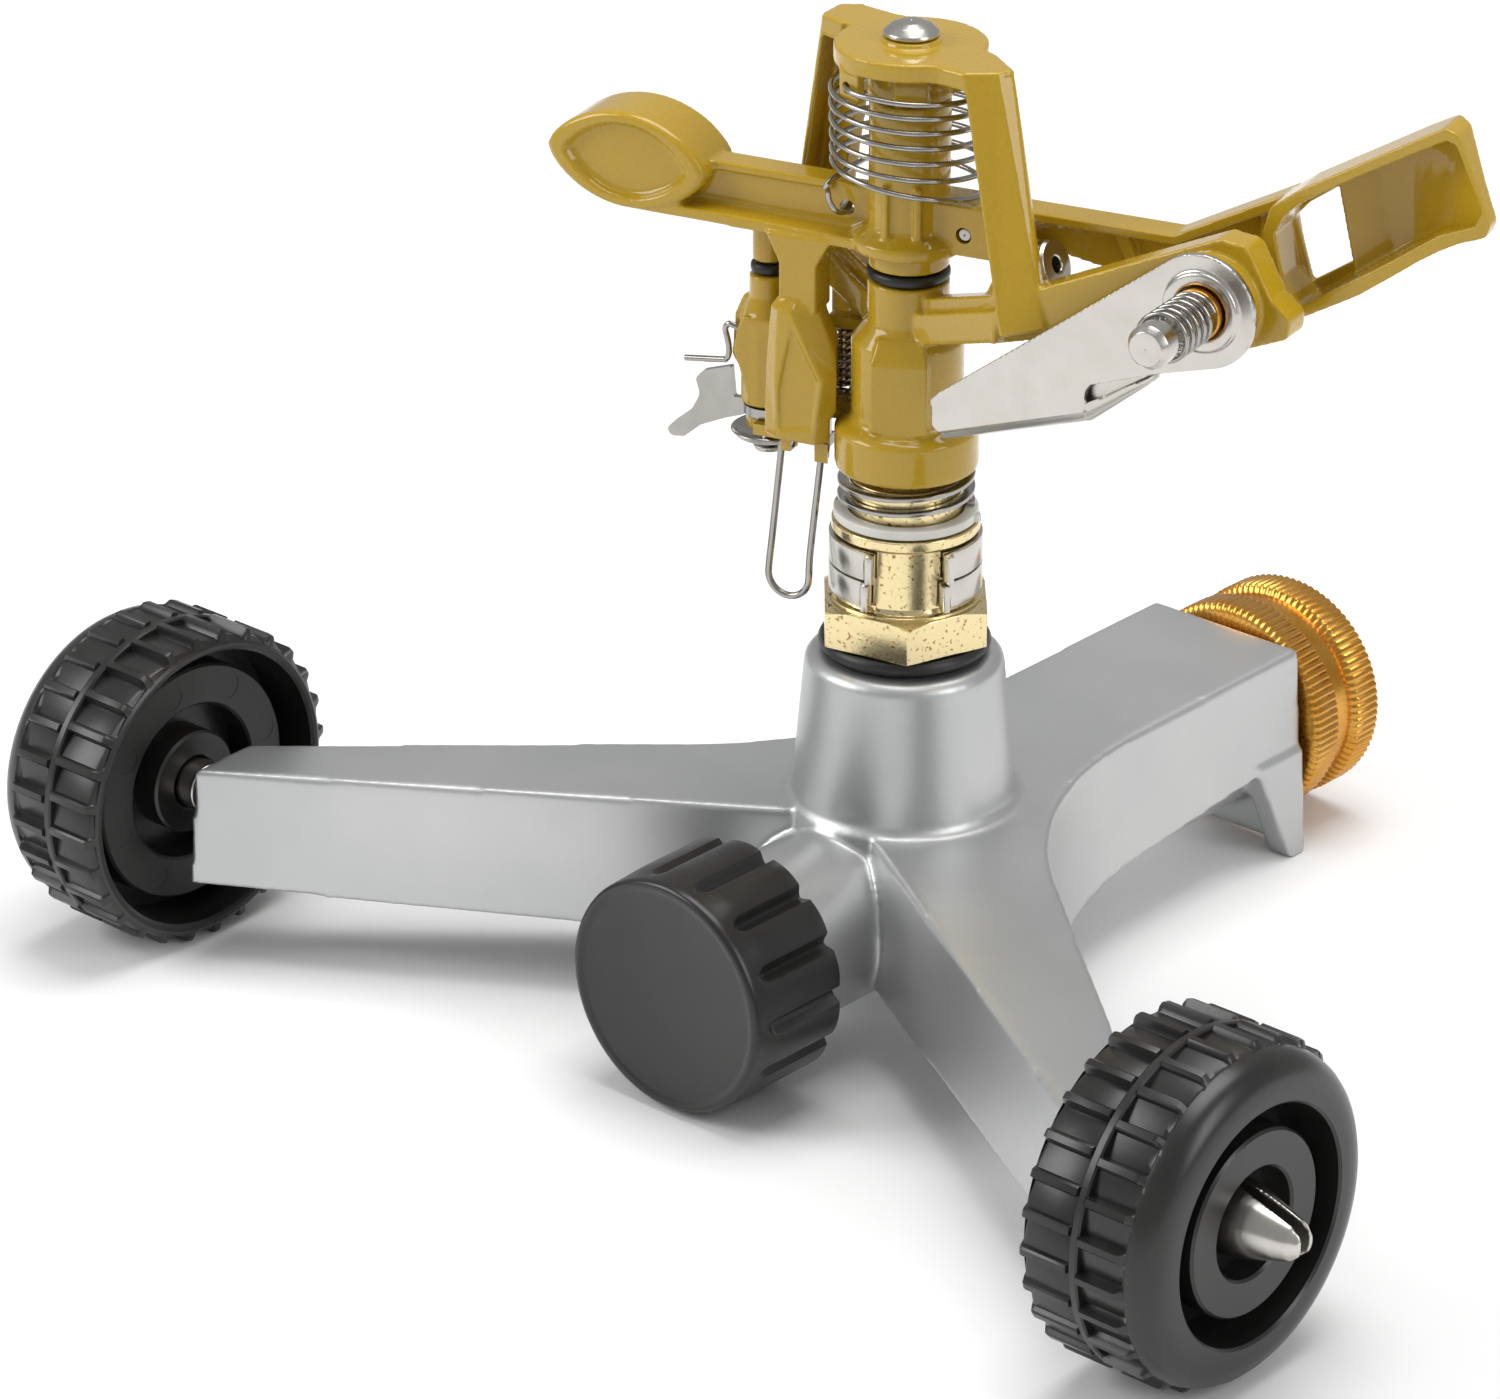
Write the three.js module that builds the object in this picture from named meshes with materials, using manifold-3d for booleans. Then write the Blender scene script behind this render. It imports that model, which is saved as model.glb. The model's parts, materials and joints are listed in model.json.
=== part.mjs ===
// Impact sprinkler on a three-point base with two wheels. Millimetres, +Z up.
// +Y points to the hose inlet, +X to the right wheel. The pieces are laid out from the riser's axis
// at floor level, and the finished group is moved so that its origin is under its middle.

import * as THREE from 'three';
import { mergeVertices } from 'three/addons/utils/BufferGeometryUtils.js';
import Module from 'manifold-3d';

const wasm = await Module();
wasm.setup();

// ---------------------------------------------------------------- driving dimensions

const GAP = 0.3;                       // running gap between touching pieces

const WHEEL_R = 27;                    // over the treads
const WHEEL_Y = -61;
const WHEEL_X_IN = 96.2;
const WHEEL_X_OUT = 119.6;
const AXLE_R = 4.2;

const WATER_Z = 20.3;                  // height of the horizontal waterway
const TUBE_R = 14.2;
const TUBE_BORE_R = 8.4;
const TUBE_FRONT_Y = -50;
const ARM_TOP_Z = 36;
const INLET_Y = 84;
const INLET_HALF_W = 15.3;
const BOSS_TOP_Z = 60.8;
const BOSS_TOP_R = 15.8;
const BOSS_FOOT_R = 17.8;
const BOSS_BORE_R = 9.8;

const CAP_FRONT_Y = -56.6;
const CAP_BACK_Y = -37.2;
const CAP_R = 19.8;

const NUT_BACK_Y = 85.6;
const NUT_FRONT_Y = 103.1;
const NUT_R = 18.9;

const HEX_FLATS = 25.4;
const HEX_Z = 64;
const HEX_TOP_Z = 70.6;
const NIPPLE_R = 10.9;
const RIM_R = 11.7;
const RIM_TOP_Z = 83.5;
const SPIGOT_R = 8.9;
const SPIGOT_TOP_Z = 90.6;
const STEM_R = 5.3;
const STEM_BORE_R = 4.1;

const SOCKET_Z = 92.3;
const SOCKET_R = 11.3;
const SOCKET_TOP_Z = 99.4;
const BARREL_R = 8.8;
const BARREL_TOP_Z = 113.4;
const NECK_R = 6.4;
const NECK_FOOT_Z = 116.4;
const NECK_TOP_Z = 123.2;

const BRIDGE_AZIMUTH = -11;            // degrees; the bridge stands in this vertical plane
const STREAM_AZIMUTH = 11;             // the jet leaves in this direction
const STREAM_RISE = 21;                // and climbs at this angle
const ARM_AZIMUTH = 16;                // the hammer arm at rest

const BRIDGE_TOP_Z = 161.4;
const BRIDGE_PLATE = 3.6;
const BRIDGE_DISC_R = 11.8;
const BAR_SLOPE = 0.34;                // the yoke bars rise outwards
const BAR_END = 25;

const HUB_R = 6.3;
const HUB_FOOT_Z = 128.7;
const HUB_TOP_Z = 153.2;
const FULCRUM_R = 2.2;

const FLAP_W = 13.8;                   // the deflector plate's inner face, off the jet's plane
const FLAP_PIVOT_S = 57.6;             // its pivot, along the jet
const FLAP_PIVOT_Z = 133.9;

const POST_S = -25;                    // trip post, in the hammer arm's frame
const POST_W = -2.5;
const POST_TOP_Z = 119;

// ---------------------------------------------------------------- materials

function finish(color, roughness, metalness) {
  return new THREE.MeshStandardMaterial({ color, roughness, metalness });
}

const zinc = () => finish(0xaeb1b4, 0.42, 0.8);
const gold = () => finish(0xb8952e, 0.35, 0.35);
const brass = () => finish(0xd8bd6a, 0.3, 0.95);
const anodised = () => finish(0xcf9030, 0.35, 0.9);
const steel = () => finish(0xc9c6bf, 0.28, 1);
const plastic = () => finish(0x22211f, 0.5, 0);
const rubber = () => finish(0x161616, 0.7, 0);
const nylon = () => finish(0xe6e6e0, 0.45, 0);

// ---------------------------------------------------------------- solids

// A closed three.js geometry as a manifold solid.
function solid(geometry) {
  const bare = geometry.index ? geometry.toNonIndexed() : geometry.clone();
  bare.deleteAttribute('normal');
  bare.deleteAttribute('uv');
  const merged = mergeVertices(bare, 1e-4);
  return new wasm.Manifold(new wasm.Mesh({
    numProp: 3,
    vertProperties: new Float32Array(merged.attributes.position.array),
    triVerts: new Uint32Array(merged.index.array),
  }));
}

// A manifold solid back as a three.js geometry.
function geometryOf(body) {
  const mesh = body.getMesh();
  const geometry = new THREE.BufferGeometry();
  geometry.setAttribute('position', new THREE.BufferAttribute(mesh.vertProperties, 3));
  geometry.setIndex(new THREE.BufferAttribute(mesh.triVerts, 1));
  return geometry;
}

function join(first, ...others) {
  return others.reduce((sum, next) => sum.add(next), first);
}

function cut(first, ...others) {
  return others.reduce((rest, next) => rest.subtract(next), first);
}

function moved(geometry, matrix) {
  geometry.applyMatrix4(matrix);
  return geometry;
}

const DEG = Math.PI / 180;
const turnX = (degrees) => new THREE.Matrix4().makeRotationX(degrees * DEG);
const turnY = (degrees) => new THREE.Matrix4().makeRotationY(degrees * DEG);
const turnZ = (degrees) => new THREE.Matrix4().makeRotationZ(degrees * DEG);
const shift = (x, y, z) => new THREE.Matrix4().makeTranslation(x, y, z);

function chain(...matrices) {
  return matrices.reduce((all, next) => all.multiply(next), new THREE.Matrix4());
}

// Frame at one point whose Z axis points to another.
function between(from, to) {
  const start = new THREE.Vector3(...from);
  const along = new THREE.Vector3(...to).sub(start).normalize();
  const spin = new THREE.Quaternion().setFromUnitVectors(new THREE.Vector3(0, 0, 1), along);
  return chain(shift(...from), new THREE.Matrix4().makeRotationFromQuaternion(spin));
}

// Round solid about Z from [radius, z] pairs that start and end on the axis, or close a ring.
function turned(profile, segments = 28) {
  const closed = profile[0][0] > 0;
  const points = profile.map(([r, z]) => new THREE.Vector2(r, z));
  if (closed) points.push(points[0].clone());
  return moved(new THREE.LatheGeometry(points, segments), turnX(90));
}

function cylinder(r, z0, z1, segments = 28) {
  return turned([[0, z0], [r, z0], [r, z1], [0, z1]], segments);
}

function ring(rIn, rOut, z0, z1, segments = 28) {
  return turned([[rIn, z0], [rOut, z0], [rOut, z1], [rIn, z1]], segments);
}

function box(x0, x1, y0, y1, z0, z1) {
  const geometry = new THREE.BoxGeometry(x1 - x0, y1 - y0, z1 - z0);
  return moved(geometry, shift((x0 + x1) / 2, (y0 + y1) / 2, (z0 + z1) / 2));
}

function outline(points) {
  return new THREE.Shape(points.map(([x, y]) => new THREE.Vector2(x, y)));
}

// Outline in plan, between two heights.
function slab(points, z0, z1) {
  const geometry = new THREE.ExtrudeGeometry(outline(points), { depth: z1 - z0, bevelEnabled: false });
  return moved(geometry, shift(0, 0, z0));
}

// Outline of [s, z] pairs in an upright plane, thick from w0 to w1 (w is towards -Y in that frame).
function plate(points, w0, w1) {
  const geometry = new THREE.ExtrudeGeometry(outline(points), { depth: w1 - w0, bevelEnabled: false });
  return moved(geometry, chain(turnX(90), shift(0, 0, w0)));
}

// Convex solid between two outlines with the same number of points, given as 3-D corners.
function loft(lower, upper) {
  const n = lower.length;
  const clockwise = THREE.ShapeUtils.area(lower.map(([x, y]) => new THREE.Vector2(x, y))) < 0;
  const corners = clockwise ? [...[...lower].reverse(), ...[...upper].reverse()] : [...lower, ...upper];
  const positions = [];
  const triangle = (a, b, c) => positions.push(...corners[a], ...corners[b], ...corners[c]);
  for (let i = 0; i < n; i += 1) {
    const j = (i + 1) % n;
    triangle(i, j, n + j);
    triangle(i, n + j, n + i);
    if (i > 0 && i < n - 1) {
      triangle(0, i + 1, i);
      triangle(n, n + i, n + i + 1);
    }
  }
  const geometry = new THREE.BufferGeometry();
  geometry.setAttribute('position', new THREE.Float32BufferAttribute(positions, 3));
  return geometry;
}

// Wire of the given section radius along a curve.
function wire(curve, radius, steps, sides = 6) {
  const section = new THREE.Shape();
  for (let i = 0; i < sides; i += 1) {
    const a = (i / sides) * 2 * Math.PI;
    const x = radius * Math.cos(a);
    const y = radius * Math.sin(a);
    if (i === 0) section.moveTo(x, y);
    else section.lineTo(x, y);
  }
  return new THREE.ExtrudeGeometry(section, { steps, extrudePath: curve, bevelEnabled: false });
}

class Helix extends THREE.Curve {
  constructor(radius, z0, z1, turns, start = 0) {
    super();
    Object.assign(this, { radius, z0, z1, turns, start });
  }

  getPoint(t, target = new THREE.Vector3()) {
    const a = this.start + t * this.turns * 2 * Math.PI;
    const z = this.z0 + t * (this.z1 - this.z0);
    return target.set(this.radius * Math.cos(a), this.radius * Math.sin(a), z);
  }
}

const sprinkler = new THREE.Group();

function addPiece(name, body, material, parent = sprinkler) {
  const geometry = body.isBufferGeometry ? body : geometryOf(body);
  const mesh = new THREE.Mesh(geometry, material);
  mesh.name = name;
  parent.add(mesh);
  return mesh;
}

// ---------------------------------------------------------------- base casting

const ARM_FRONT = [[0, -12.2], [92.5, -67.7]];      // front edge of the right wheel arm, in plan
const ARM_BACK = [[93.4, -54.9], [38.9, -8.8]];     // back edge of the right wheel arm
const FILLET_END_Y = 41.6;                          // the back edge sweeps into the inlet arm here

// Right half of the base in plan, grown outwards by the draft at lower heights.
function basePlan(grow) {
  const side = INLET_HALF_W + grow;
  const backEnd = [ARM_BACK[0][0] + grow * 0.6, ARM_BACK[0][1] + grow * 0.6];
  const backRoot = [ARM_BACK[1][0] + grow * 0.65, ARM_BACK[1][1] + grow * 0.75];
  const corner = new THREE.Vector2(side, 11 + grow);
  const sweep = new THREE.QuadraticBezierCurve(
    new THREE.Vector2(...backRoot), corner, new THREE.Vector2(side, FILLET_END_Y));
  const bend = sweep.getPoints(6).map((p) => [p.x, p.y]);
  const right = [
    [ARM_FRONT[1][0] + grow * 0.6, ARM_FRONT[1][1] - grow],
    backEnd,
    ...bend,
    [side, INLET_Y],
  ];
  const left = right.map(([x, y]) => [-x, y]).reverse();
  return [[0, ARM_FRONT[0][1] - grow * 1.2], ...right, ...left];
}

function extrudedPlan(grow, z0, z1) {
  return solid(slab(basePlan(grow), z0, z1));
}

function baseCasting() {
  const bottomCut = loft(
    [[-130, -90, -5], [130, -90, -5], [130, 12, -5], [-130, 12, -5]],
    [[-130, -90, 13.5], [130, -90, 13.5], [130, 12, 11.5], [-130, 12, 11.5]]);
  const inletCut = loft(
    [[-60, 11.9, -5], [60, 11.9, -5], [60, 80, -5], [-60, 80, -5]],
    [[-60, 11.9, 11.5], [60, 11.9, 11.5], [60, 80, 18], [-60, 80, 18]]);
  const wall = 2.6;
  const shell = join(
    extrudedPlan(0, 30, ARM_TOP_Z),
    extrudedPlan(0.8, 20, 30.01),
    extrudedPlan(1.6, 10, 20.01),
    extrudedPlan(2.2, 2, 10.01),
  );
  const hollow = join(
    extrudedPlan(-wall, 22, ARM_TOP_Z - 3),
    extrudedPlan(1.6 - wall, -1, 22.01),
  );
  const inletBlock = solid(box(-40, 40, INLET_Y - 3.4, INLET_Y + 1, 0, 60));
  const hubCore = solid(cylinder(BOSS_FOOT_R + 1, 2, ARM_TOP_Z));
  const tipPads = [-1, 1].map((side) => solid(box(
    Math.min(side * 84, side * 100), Math.max(side * 84, side * 100), -70, -52, 14, 60)));
  const solidParts = join(inletBlock, hubCore, ...tipPads);
  const channel = cut(hollow, solidParts);
  const trimmed = cut(shell, channel, solid(bottomCut), solid(inletCut));

  const tube = solid(moved(
    cylinder(TUBE_R, TUBE_FRONT_Y, INLET_Y - 1, 36), chain(shift(0, 0, WATER_Z), turnX(-90))));
  const boss = solid(turned([
    [0, 22], [BOSS_FOOT_R, 22], [BOSS_FOOT_R, ARM_TOP_Z + 0.6], [BOSS_TOP_R, BOSS_TOP_Z - 1.4],
    [BOSS_TOP_R - 1.2, BOSS_TOP_Z], [0, BOSS_TOP_Z]]));
  const feet = [-1, 1].map((side) => {
    const inner = side * 12.8;
    const lowOuter = side * 18.4;
    const highOuter = side * 17.4;
    return solid(loft(
      [[inner, 79.6, 0], [lowOuter, 79.6, 0], [lowOuter, INLET_Y, 0], [inner, INLET_Y, 0]],
      [[inner, 71.8, 19], [highOuter, 71.8, 19], [highOuter, INLET_Y, 19], [inner, INLET_Y, 19]]));
  });

  const mainBore = solid(moved(
    cylinder(TUBE_BORE_R, TUBE_FRONT_Y - 1, INLET_Y + 5, 28), chain(shift(0, 0, WATER_Z), turnX(-90))));
  const tailBore = solid(moved(
    cylinder(10.2, INLET_Y - 16, INLET_Y + 5, 28), chain(shift(0, 0, WATER_Z), turnX(-90))));
  const riserBore = solid(cylinder(BOSS_BORE_R, WATER_Z, BOSS_TOP_Z + 1));
  const axleBores = [-1, 1].map((side) => solid(moved(
    cylinder(2.5, 88, 105, 20), chain(shift(0, WHEEL_Y, WHEEL_R), turnY(side * 90)))));
  const front = solid(box(-40, 40, INLET_Y, INLET_Y + 30, -5, 60));

  return cut(join(trimmed, tube, boss, ...feet), front, mainBore, tailBore, riserBore, ...axleBores);
}

// ---------------------------------------------------------------- wheels and axles

// Wheel about its own Z axis: z = 0 is the face next to the arm, z grows outwards.
function wheelSolid() {
  const width = WHEEL_X_OUT - WHEEL_X_IN;
  const hubR = 8.7;
  const dishR = 18.5;
  return solid(turned([
    [AXLE_R + GAP, 3.5], [hubR, 3.5], [hubR, 9], [13.1, 9], [13.1, 4], [20, 4], [23.6, 0], [25.6, 0],
    [WHEEL_R, 1.6], [WHEEL_R, width - 4.6], [25, width - 2], [21, width], [dishR, width],
    [dishR, width - 10.4], [14.5, width - 10.4], [14.5, width - 1.2], [hubR, width - 1.2],
    [hubR, width - 9], [AXLE_R + GAP, width - 9]], 40));
}

const wheelMatrix = (side) => chain(shift(side * WHEEL_X_IN, WHEEL_Y, WHEEL_R), turnY(side * 90));

// Pressed pin with a split conical tip that snaps through the wheel's hub.
function axlePin() {
  const body = solid(turned([
    [0, -6], [2.2, -6], [2.2, 1.2], [AXLE_R, 1.2], [AXLE_R, 16.1], [6.3, 16.4],
    [6.3, 18.6], [4.8, 23], [2.6, 30.4], [0, 33]], 40));
  const slot = solid(box(-8, 8, -0.9, 0.9, 12, 34));
  return cut(body, slot);
}

// ---------------------------------------------------------------- cap and hose coupling

const CAP_GROOVES = 14;

function endCap() {
  const points = [];
  for (let i = 0; i < CAP_GROOVES; i += 1) {
    const pitch = (2 * Math.PI) / CAP_GROOVES;
    for (const [fraction, r] of [[0.1, CAP_R], [0.5, CAP_R + 0.3], [0.86, CAP_R], [0.98, CAP_R - 1.7]]) {
      const a = (i + fraction) * pitch;
      points.push([r * Math.cos(a), r * Math.sin(a)]);
    }
  }
  const length = CAP_BACK_Y - CAP_FRONT_Y;
  const fluted = solid(slab(points, 2.6, length));
  const front = solid(turned([[0, 0], [CAP_R - 1, 0], [CAP_R - 0.2, 0.8], [CAP_R - 0.2, 2.7], [0, 2.7]]));
  const threadBore = solid(cylinder(TUBE_R + GAP, 3.8, length + 1));
  return cut(join(fluted, front), threadBore);
}

const capMatrix = chain(shift(0, CAP_FRONT_Y, WATER_Z), turnX(-90));

function swivelNut() {
  const lip = 9.4;
  const seat = 4.2;
  const length = NUT_FRONT_Y - NUT_BACK_Y;
  return solid(turned([
    [lip, 0], [NUT_R - 1, 0], [NUT_R, 1], [NUT_R, 6.4], [NUT_R - 1.3, 7.4], [NUT_R - 1.3, 11],
    [NUT_R, 12], [NUT_R, length - 0.8], [NUT_R - 0.8, length], [13, length], [13, seat],
    [lip, seat]]));
}

function hoseTail() {
  // threaded in the casting, with a flange that holds the swivel nut
  return solid(turned([
    [6.6, -14], [9.9, -14], [9.9, 0.9], [9, 0.9], [9, 6.2], [12.4, 6.2], [12.4, 8],
    [6.6, 8]]));
}

const inletMatrix = (y) => chain(shift(0, y, WATER_Z), turnX(-90));

// ---------------------------------------------------------------- bearing

const GAP_AZIMUTH = -48;               // a hexagon corner and the collars' open side face this way

function bearingNipple() {
  const hexR = HEX_FLATS / Math.sqrt(3);
  const hex = moved(cylinder(hexR, HEX_Z, HEX_TOP_Z, 6), turnZ(GAP_AZIMUTH + 90));
  const round = turned([
    [0, 49.8], [9.4, 49.8], [9.4, HEX_Z + 1], [11.2, HEX_Z + 1], [11.2, HEX_TOP_Z + 0.6],
    [NIPPLE_R, HEX_TOP_Z + 0.9], [NIPPLE_R, RIM_TOP_Z - 1.9], [RIM_R, RIM_TOP_Z - 1.9],
    [RIM_R, RIM_TOP_Z], [SPIGOT_R, RIM_TOP_Z], [SPIGOT_R, SPIGOT_TOP_Z], [0, SPIGOT_TOP_Z]], 36);
  const bore = cylinder(STEM_R + GAP, 40, 100, 28);
  return cut(join(solid(hex), solid(round)), solid(bore));
}

function stemTube() {
  return solid(turned([
    [STEM_BORE_R, 44], [8.9, 44], [8.9, 46], [STEM_R, 46], [STEM_R, 101], [STEM_BORE_R, 101]]));
}

// C-shaped spring collar; its two ends are bent outwards as trip stops.
function tripCollar(z0, z1, gapStart, gapEnd) {
  const rIn = NIPPLE_R + GAP;
  const rOut = rIn + 0.9;
  const steps = 26;
  const sweep = 360 - (gapEnd - gapStart);
  const points = [];
  const at = (degrees, r) => [r * Math.cos(degrees * DEG), r * Math.sin(degrees * DEG)];
  for (let i = 0; i <= steps; i += 1) {
    points.push(at(gapEnd + (sweep * i) / steps, rOut));
  }
  points.push(at(gapStart + 360 - 0.5, rOut + 1.6));
  points.push(at(gapStart + 360 + 5, rOut + 1.6));
  for (let i = 0; i <= steps; i += 1) {
    points.push(at(gapStart + 360 + 5 - ((sweep + 10) * i) / steps, rIn));
  }
  points.push(at(gapEnd - 5, rOut + 1.6));
  points.push(at(gapEnd + 0.5, rOut + 1.6));
  return solid(slab(points, z0, z1));
}

function bearingSpring() {
  const section = outline([[-0.4, -0.8], [0.4, -0.8], [0.4, 0.8], [-0.4, 0.8]]);
  const coil = new Helix(10, 86, 91.5, 2.3, 0.6);
  return new THREE.ExtrudeGeometry(section, { steps: 56, extrudePath: coil, bevelEnabled: false });
}

// ---------------------------------------------------------------- sprinkler body

const bridgeFrame = turnZ(BRIDGE_AZIMUTH);
const streamFrame = turnZ(STREAM_AZIMUTH);
const armFrame = turnZ(ARM_AZIMUTH);
const nozzleAxis = chain(streamFrame, shift(0, 0, 120.4), turnY(90 - STREAM_RISE));

// The water climbs through the right bar, then a knee behind the leg turns it into the nozzle.
const barAxis = chain(bridgeFrame, shift(0, 0, 115.4), turnY(Math.atan2(1, BAR_SLOPE) / DEG));
const kneeAxis = between([21.6, -4.2, 122.7], [19.4, 3.8, 128]);

function bridgeSide(side) {
  // the leg's section shrinks and leans in upwards
  const section = (z) => {
    const drop = BRIDGE_TOP_Z - z;
    const inner = 12.8 + 0.2 * drop;
    const front = 16.7 + 0.185 * drop;
    const corner = 19.6 + 0.24 * drop;
    const back = 20.1 + 0.2 * drop;
    return [[inner, -3.4, z], [front, -3.4, z], [corner, 0.9, z], [back, 3.8, z], [inner, 3.8, z]];
  };
  const low = section(118);
  const leg = solid(loft(low, section(BRIDGE_TOP_Z)));
  // strip that follows the bar's slope between two heights at the axis
  const strip = (s0, s1, low0, high0, halfWidth) => solid(plate([
    [s0, low0 + s0 * BAR_SLOPE], [s1, low0 + s1 * BAR_SLOPE], [s1, high0 + s1 * BAR_SLOPE],
    [s0, high0 + s0 * BAR_SLOPE]], -halfWidth, halfWidth));
  const underCut = strip(10, 40, 100, 113.2, 8);
  const bar = strip(0, BAR_END, 112.4, 117.6, 3.4);
  const ledge = strip(0, BAR_END, 117, 119.8, 1.9);
  const whole = join(cut(leg, underCut), bar, ledge);
  return side > 0 ? whole : whole.mirror([1, 0, 0]);
}

function applied(body, matrix) {
  return solid(moved(geometryOf(body), matrix));
}

function bridge() {
  const plateZ = BRIDGE_TOP_Z - BRIDGE_PLATE;
  const disc = solid(cylinder(BRIDGE_DISC_R, plateZ, BRIDGE_TOP_Z));
  const strap = solid(slab([
    [0, -4.6], [16.7, -3.4], [19.6, 0.9], [20.1, 3.8], [14, 4.6], [0, 6], [-14, 4.6], [-20.1, 3.8],
    [-19.6, 0.9], [-16.7, -3.4]], plateZ, BRIDGE_TOP_Z));
  const screwPad = solid(cylinder(4.6, BRIDGE_TOP_Z - 0.1, BRIDGE_TOP_Z + 0.8));
  const innerBoss = solid(cylinder(6.9, HUB_TOP_Z + 0.7, plateZ + 0.1));
  const tab = solid(box(-11.6, -7.4, -4.6, -3.2, plateZ - 4.6, plateZ + 0.1));
  return join(disc, strap, screwPad, innerBoss, tab, bridgeSide(1), bridgeSide(-1));
}

function flapBracket() {
  // upright plate beside the jet, from the bridge leg out to the deflector's pivot
  const inner = 4.8;
  const face = 9.7;
  const web = solid(plate([
    [20, 119.5], [30, 122.5], [60, 125.6], [67, 128.6], [70, 132.6], [68.8, 136], [62.5, 142.8],
    [60, 143.9], [27.5, 129.8], [20, 128.4]], inner, face));
  const pivotPad = solid(moved(
    cylinder(7.6, face - 0.2, FLAP_W - GAP, 28),
    chain(shift(FLAP_PIVOT_S, 0, FLAP_PIVOT_Z), turnX(90))));
  const boltHole = solid(moved(
    cylinder(2.3, inner - 1, FLAP_W + 1, 20), chain(shift(FLAP_PIVOT_S, 0, FLAP_PIVOT_Z), turnX(90))));
  return cut(join(web, pivotPad), boltHole);
}

function tripBracket() {
  // hammer arm's frame: y = -w
  const shelf = solid(box(-27.5, -6, -0.6, 4.6, 97.6, 100.6));
  const post = solid(moved(
    turned([[0, 97.6], [4.4, 97.6], [4.4, 112.5], [3, 116.5], [3, POST_TOP_Z], [0, POST_TOP_Z]], 24),
    shift(POST_S, -POST_W, 0)));
  const fin = solid(plate([
    [-27, 98], [-31.4, 105.8], [-30.4, 112], [-29, 115.4], [-25, 116], [-25, 98]], -4.2, -0.8));
  const web = solid(plate([[-24, 100], [-15, 100], [-15, 106], [-21, 112.5], [-24, 112.5]], -4, -1.4));
  const lug = solid(box(-14.6, -7, 1.4, 4.4, 112, 114));
  const pinHole = solid(moved(cylinder(1.3 + GAP, 90, 117.4, 16), shift(POST_S, -POST_W, 0)));
  return cut(join(shelf, post, fin, web, lug), pinHole);
}

function sprinklerBody() {
  const core = solid(turned([
    [0, SOCKET_Z], [SOCKET_R - 0.5, SOCKET_Z], [SOCKET_R, SOCKET_Z + 0.5], [SOCKET_R, SOCKET_TOP_Z - 0.7],
    [SOCKET_R - 0.7, SOCKET_TOP_Z], [BARREL_R + 0.4, SOCKET_TOP_Z + 0.9], [BARREL_R, SOCKET_TOP_Z + 1.8],
    [BARREL_R, BARREL_TOP_Z], [NECK_R, NECK_FOOT_Z], [NECK_R, NECK_TOP_Z], [0, NECK_TOP_Z]]));
  const barrel = solid(moved(cylinder(4.4, 20, 24.8, 28), nozzleAxis));
  const knee = solid(moved(cylinder(3.6, 0, 9, 24), kneeAxis));
  const parts = join(
    core, barrel, knee, applied(bridge(), bridgeFrame), applied(flapBracket(), streamFrame),
    applied(tripBracket(), armFrame));
  const stemBore = solid(cylinder(STEM_R + GAP, SOCKET_Z - 1, 101.3));
  const waterway = solid(cylinder(STEM_BORE_R, 101, 117.6, 24));
  const barBore = solid(moved(cylinder(2, 0, 22.6, 16), barAxis));
  const kneeBore = solid(moved(cylinder(2, 0, 9, 16), kneeAxis));
  const nozzleSeat = solid(moved(cylinder(3.4, 20.8, 30, 24), nozzleAxis));
  const fulcrumHole = solid(cylinder(FULCRUM_R + GAP, 119.6, 170, 20));
  const hubSpace = solid(turned([
    [0, NECK_TOP_Z], [6.7, NECK_TOP_Z], [6.7, HUB_FOOT_Z - GAP], [9.3, HUB_FOOT_Z - GAP], [9.3, 132],
    [0, 132]]));
  return cut(parts, stemBore, waterway, barBore, kneeBore, nozzleSeat, fulcrumHole, hubSpace);
}

function nozzle() {
  return solid(moved(
    turned([[1.9, 21.1], [3.1, 21.1], [3.1, 25.2], [4.2, 25.2], [4.2, 27.4], [3.8, 28], [1.9, 28]], 24),
    nozzleAxis));
}

function fulcrumScrew() {
  return solid(turned([
    [0, 120], [FULCRUM_R, 120], [FULCRUM_R, 162.5], [4.3, 162.5], [4.3, 163.1], [3.4, 164.1],
    [1.6, 164.6], [0, 164.7]], 24));
}

// ---------------------------------------------------------------- hammer arm

const WEB_BACK = 5.2;                  // the web lies behind the jet on the right side
const WEB_FRONT = 2.7;
const SPOON_BACK = 3.2;
const SPOON_FLOOR = 1.6;
const SPOON_FRONT = 6;

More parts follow.
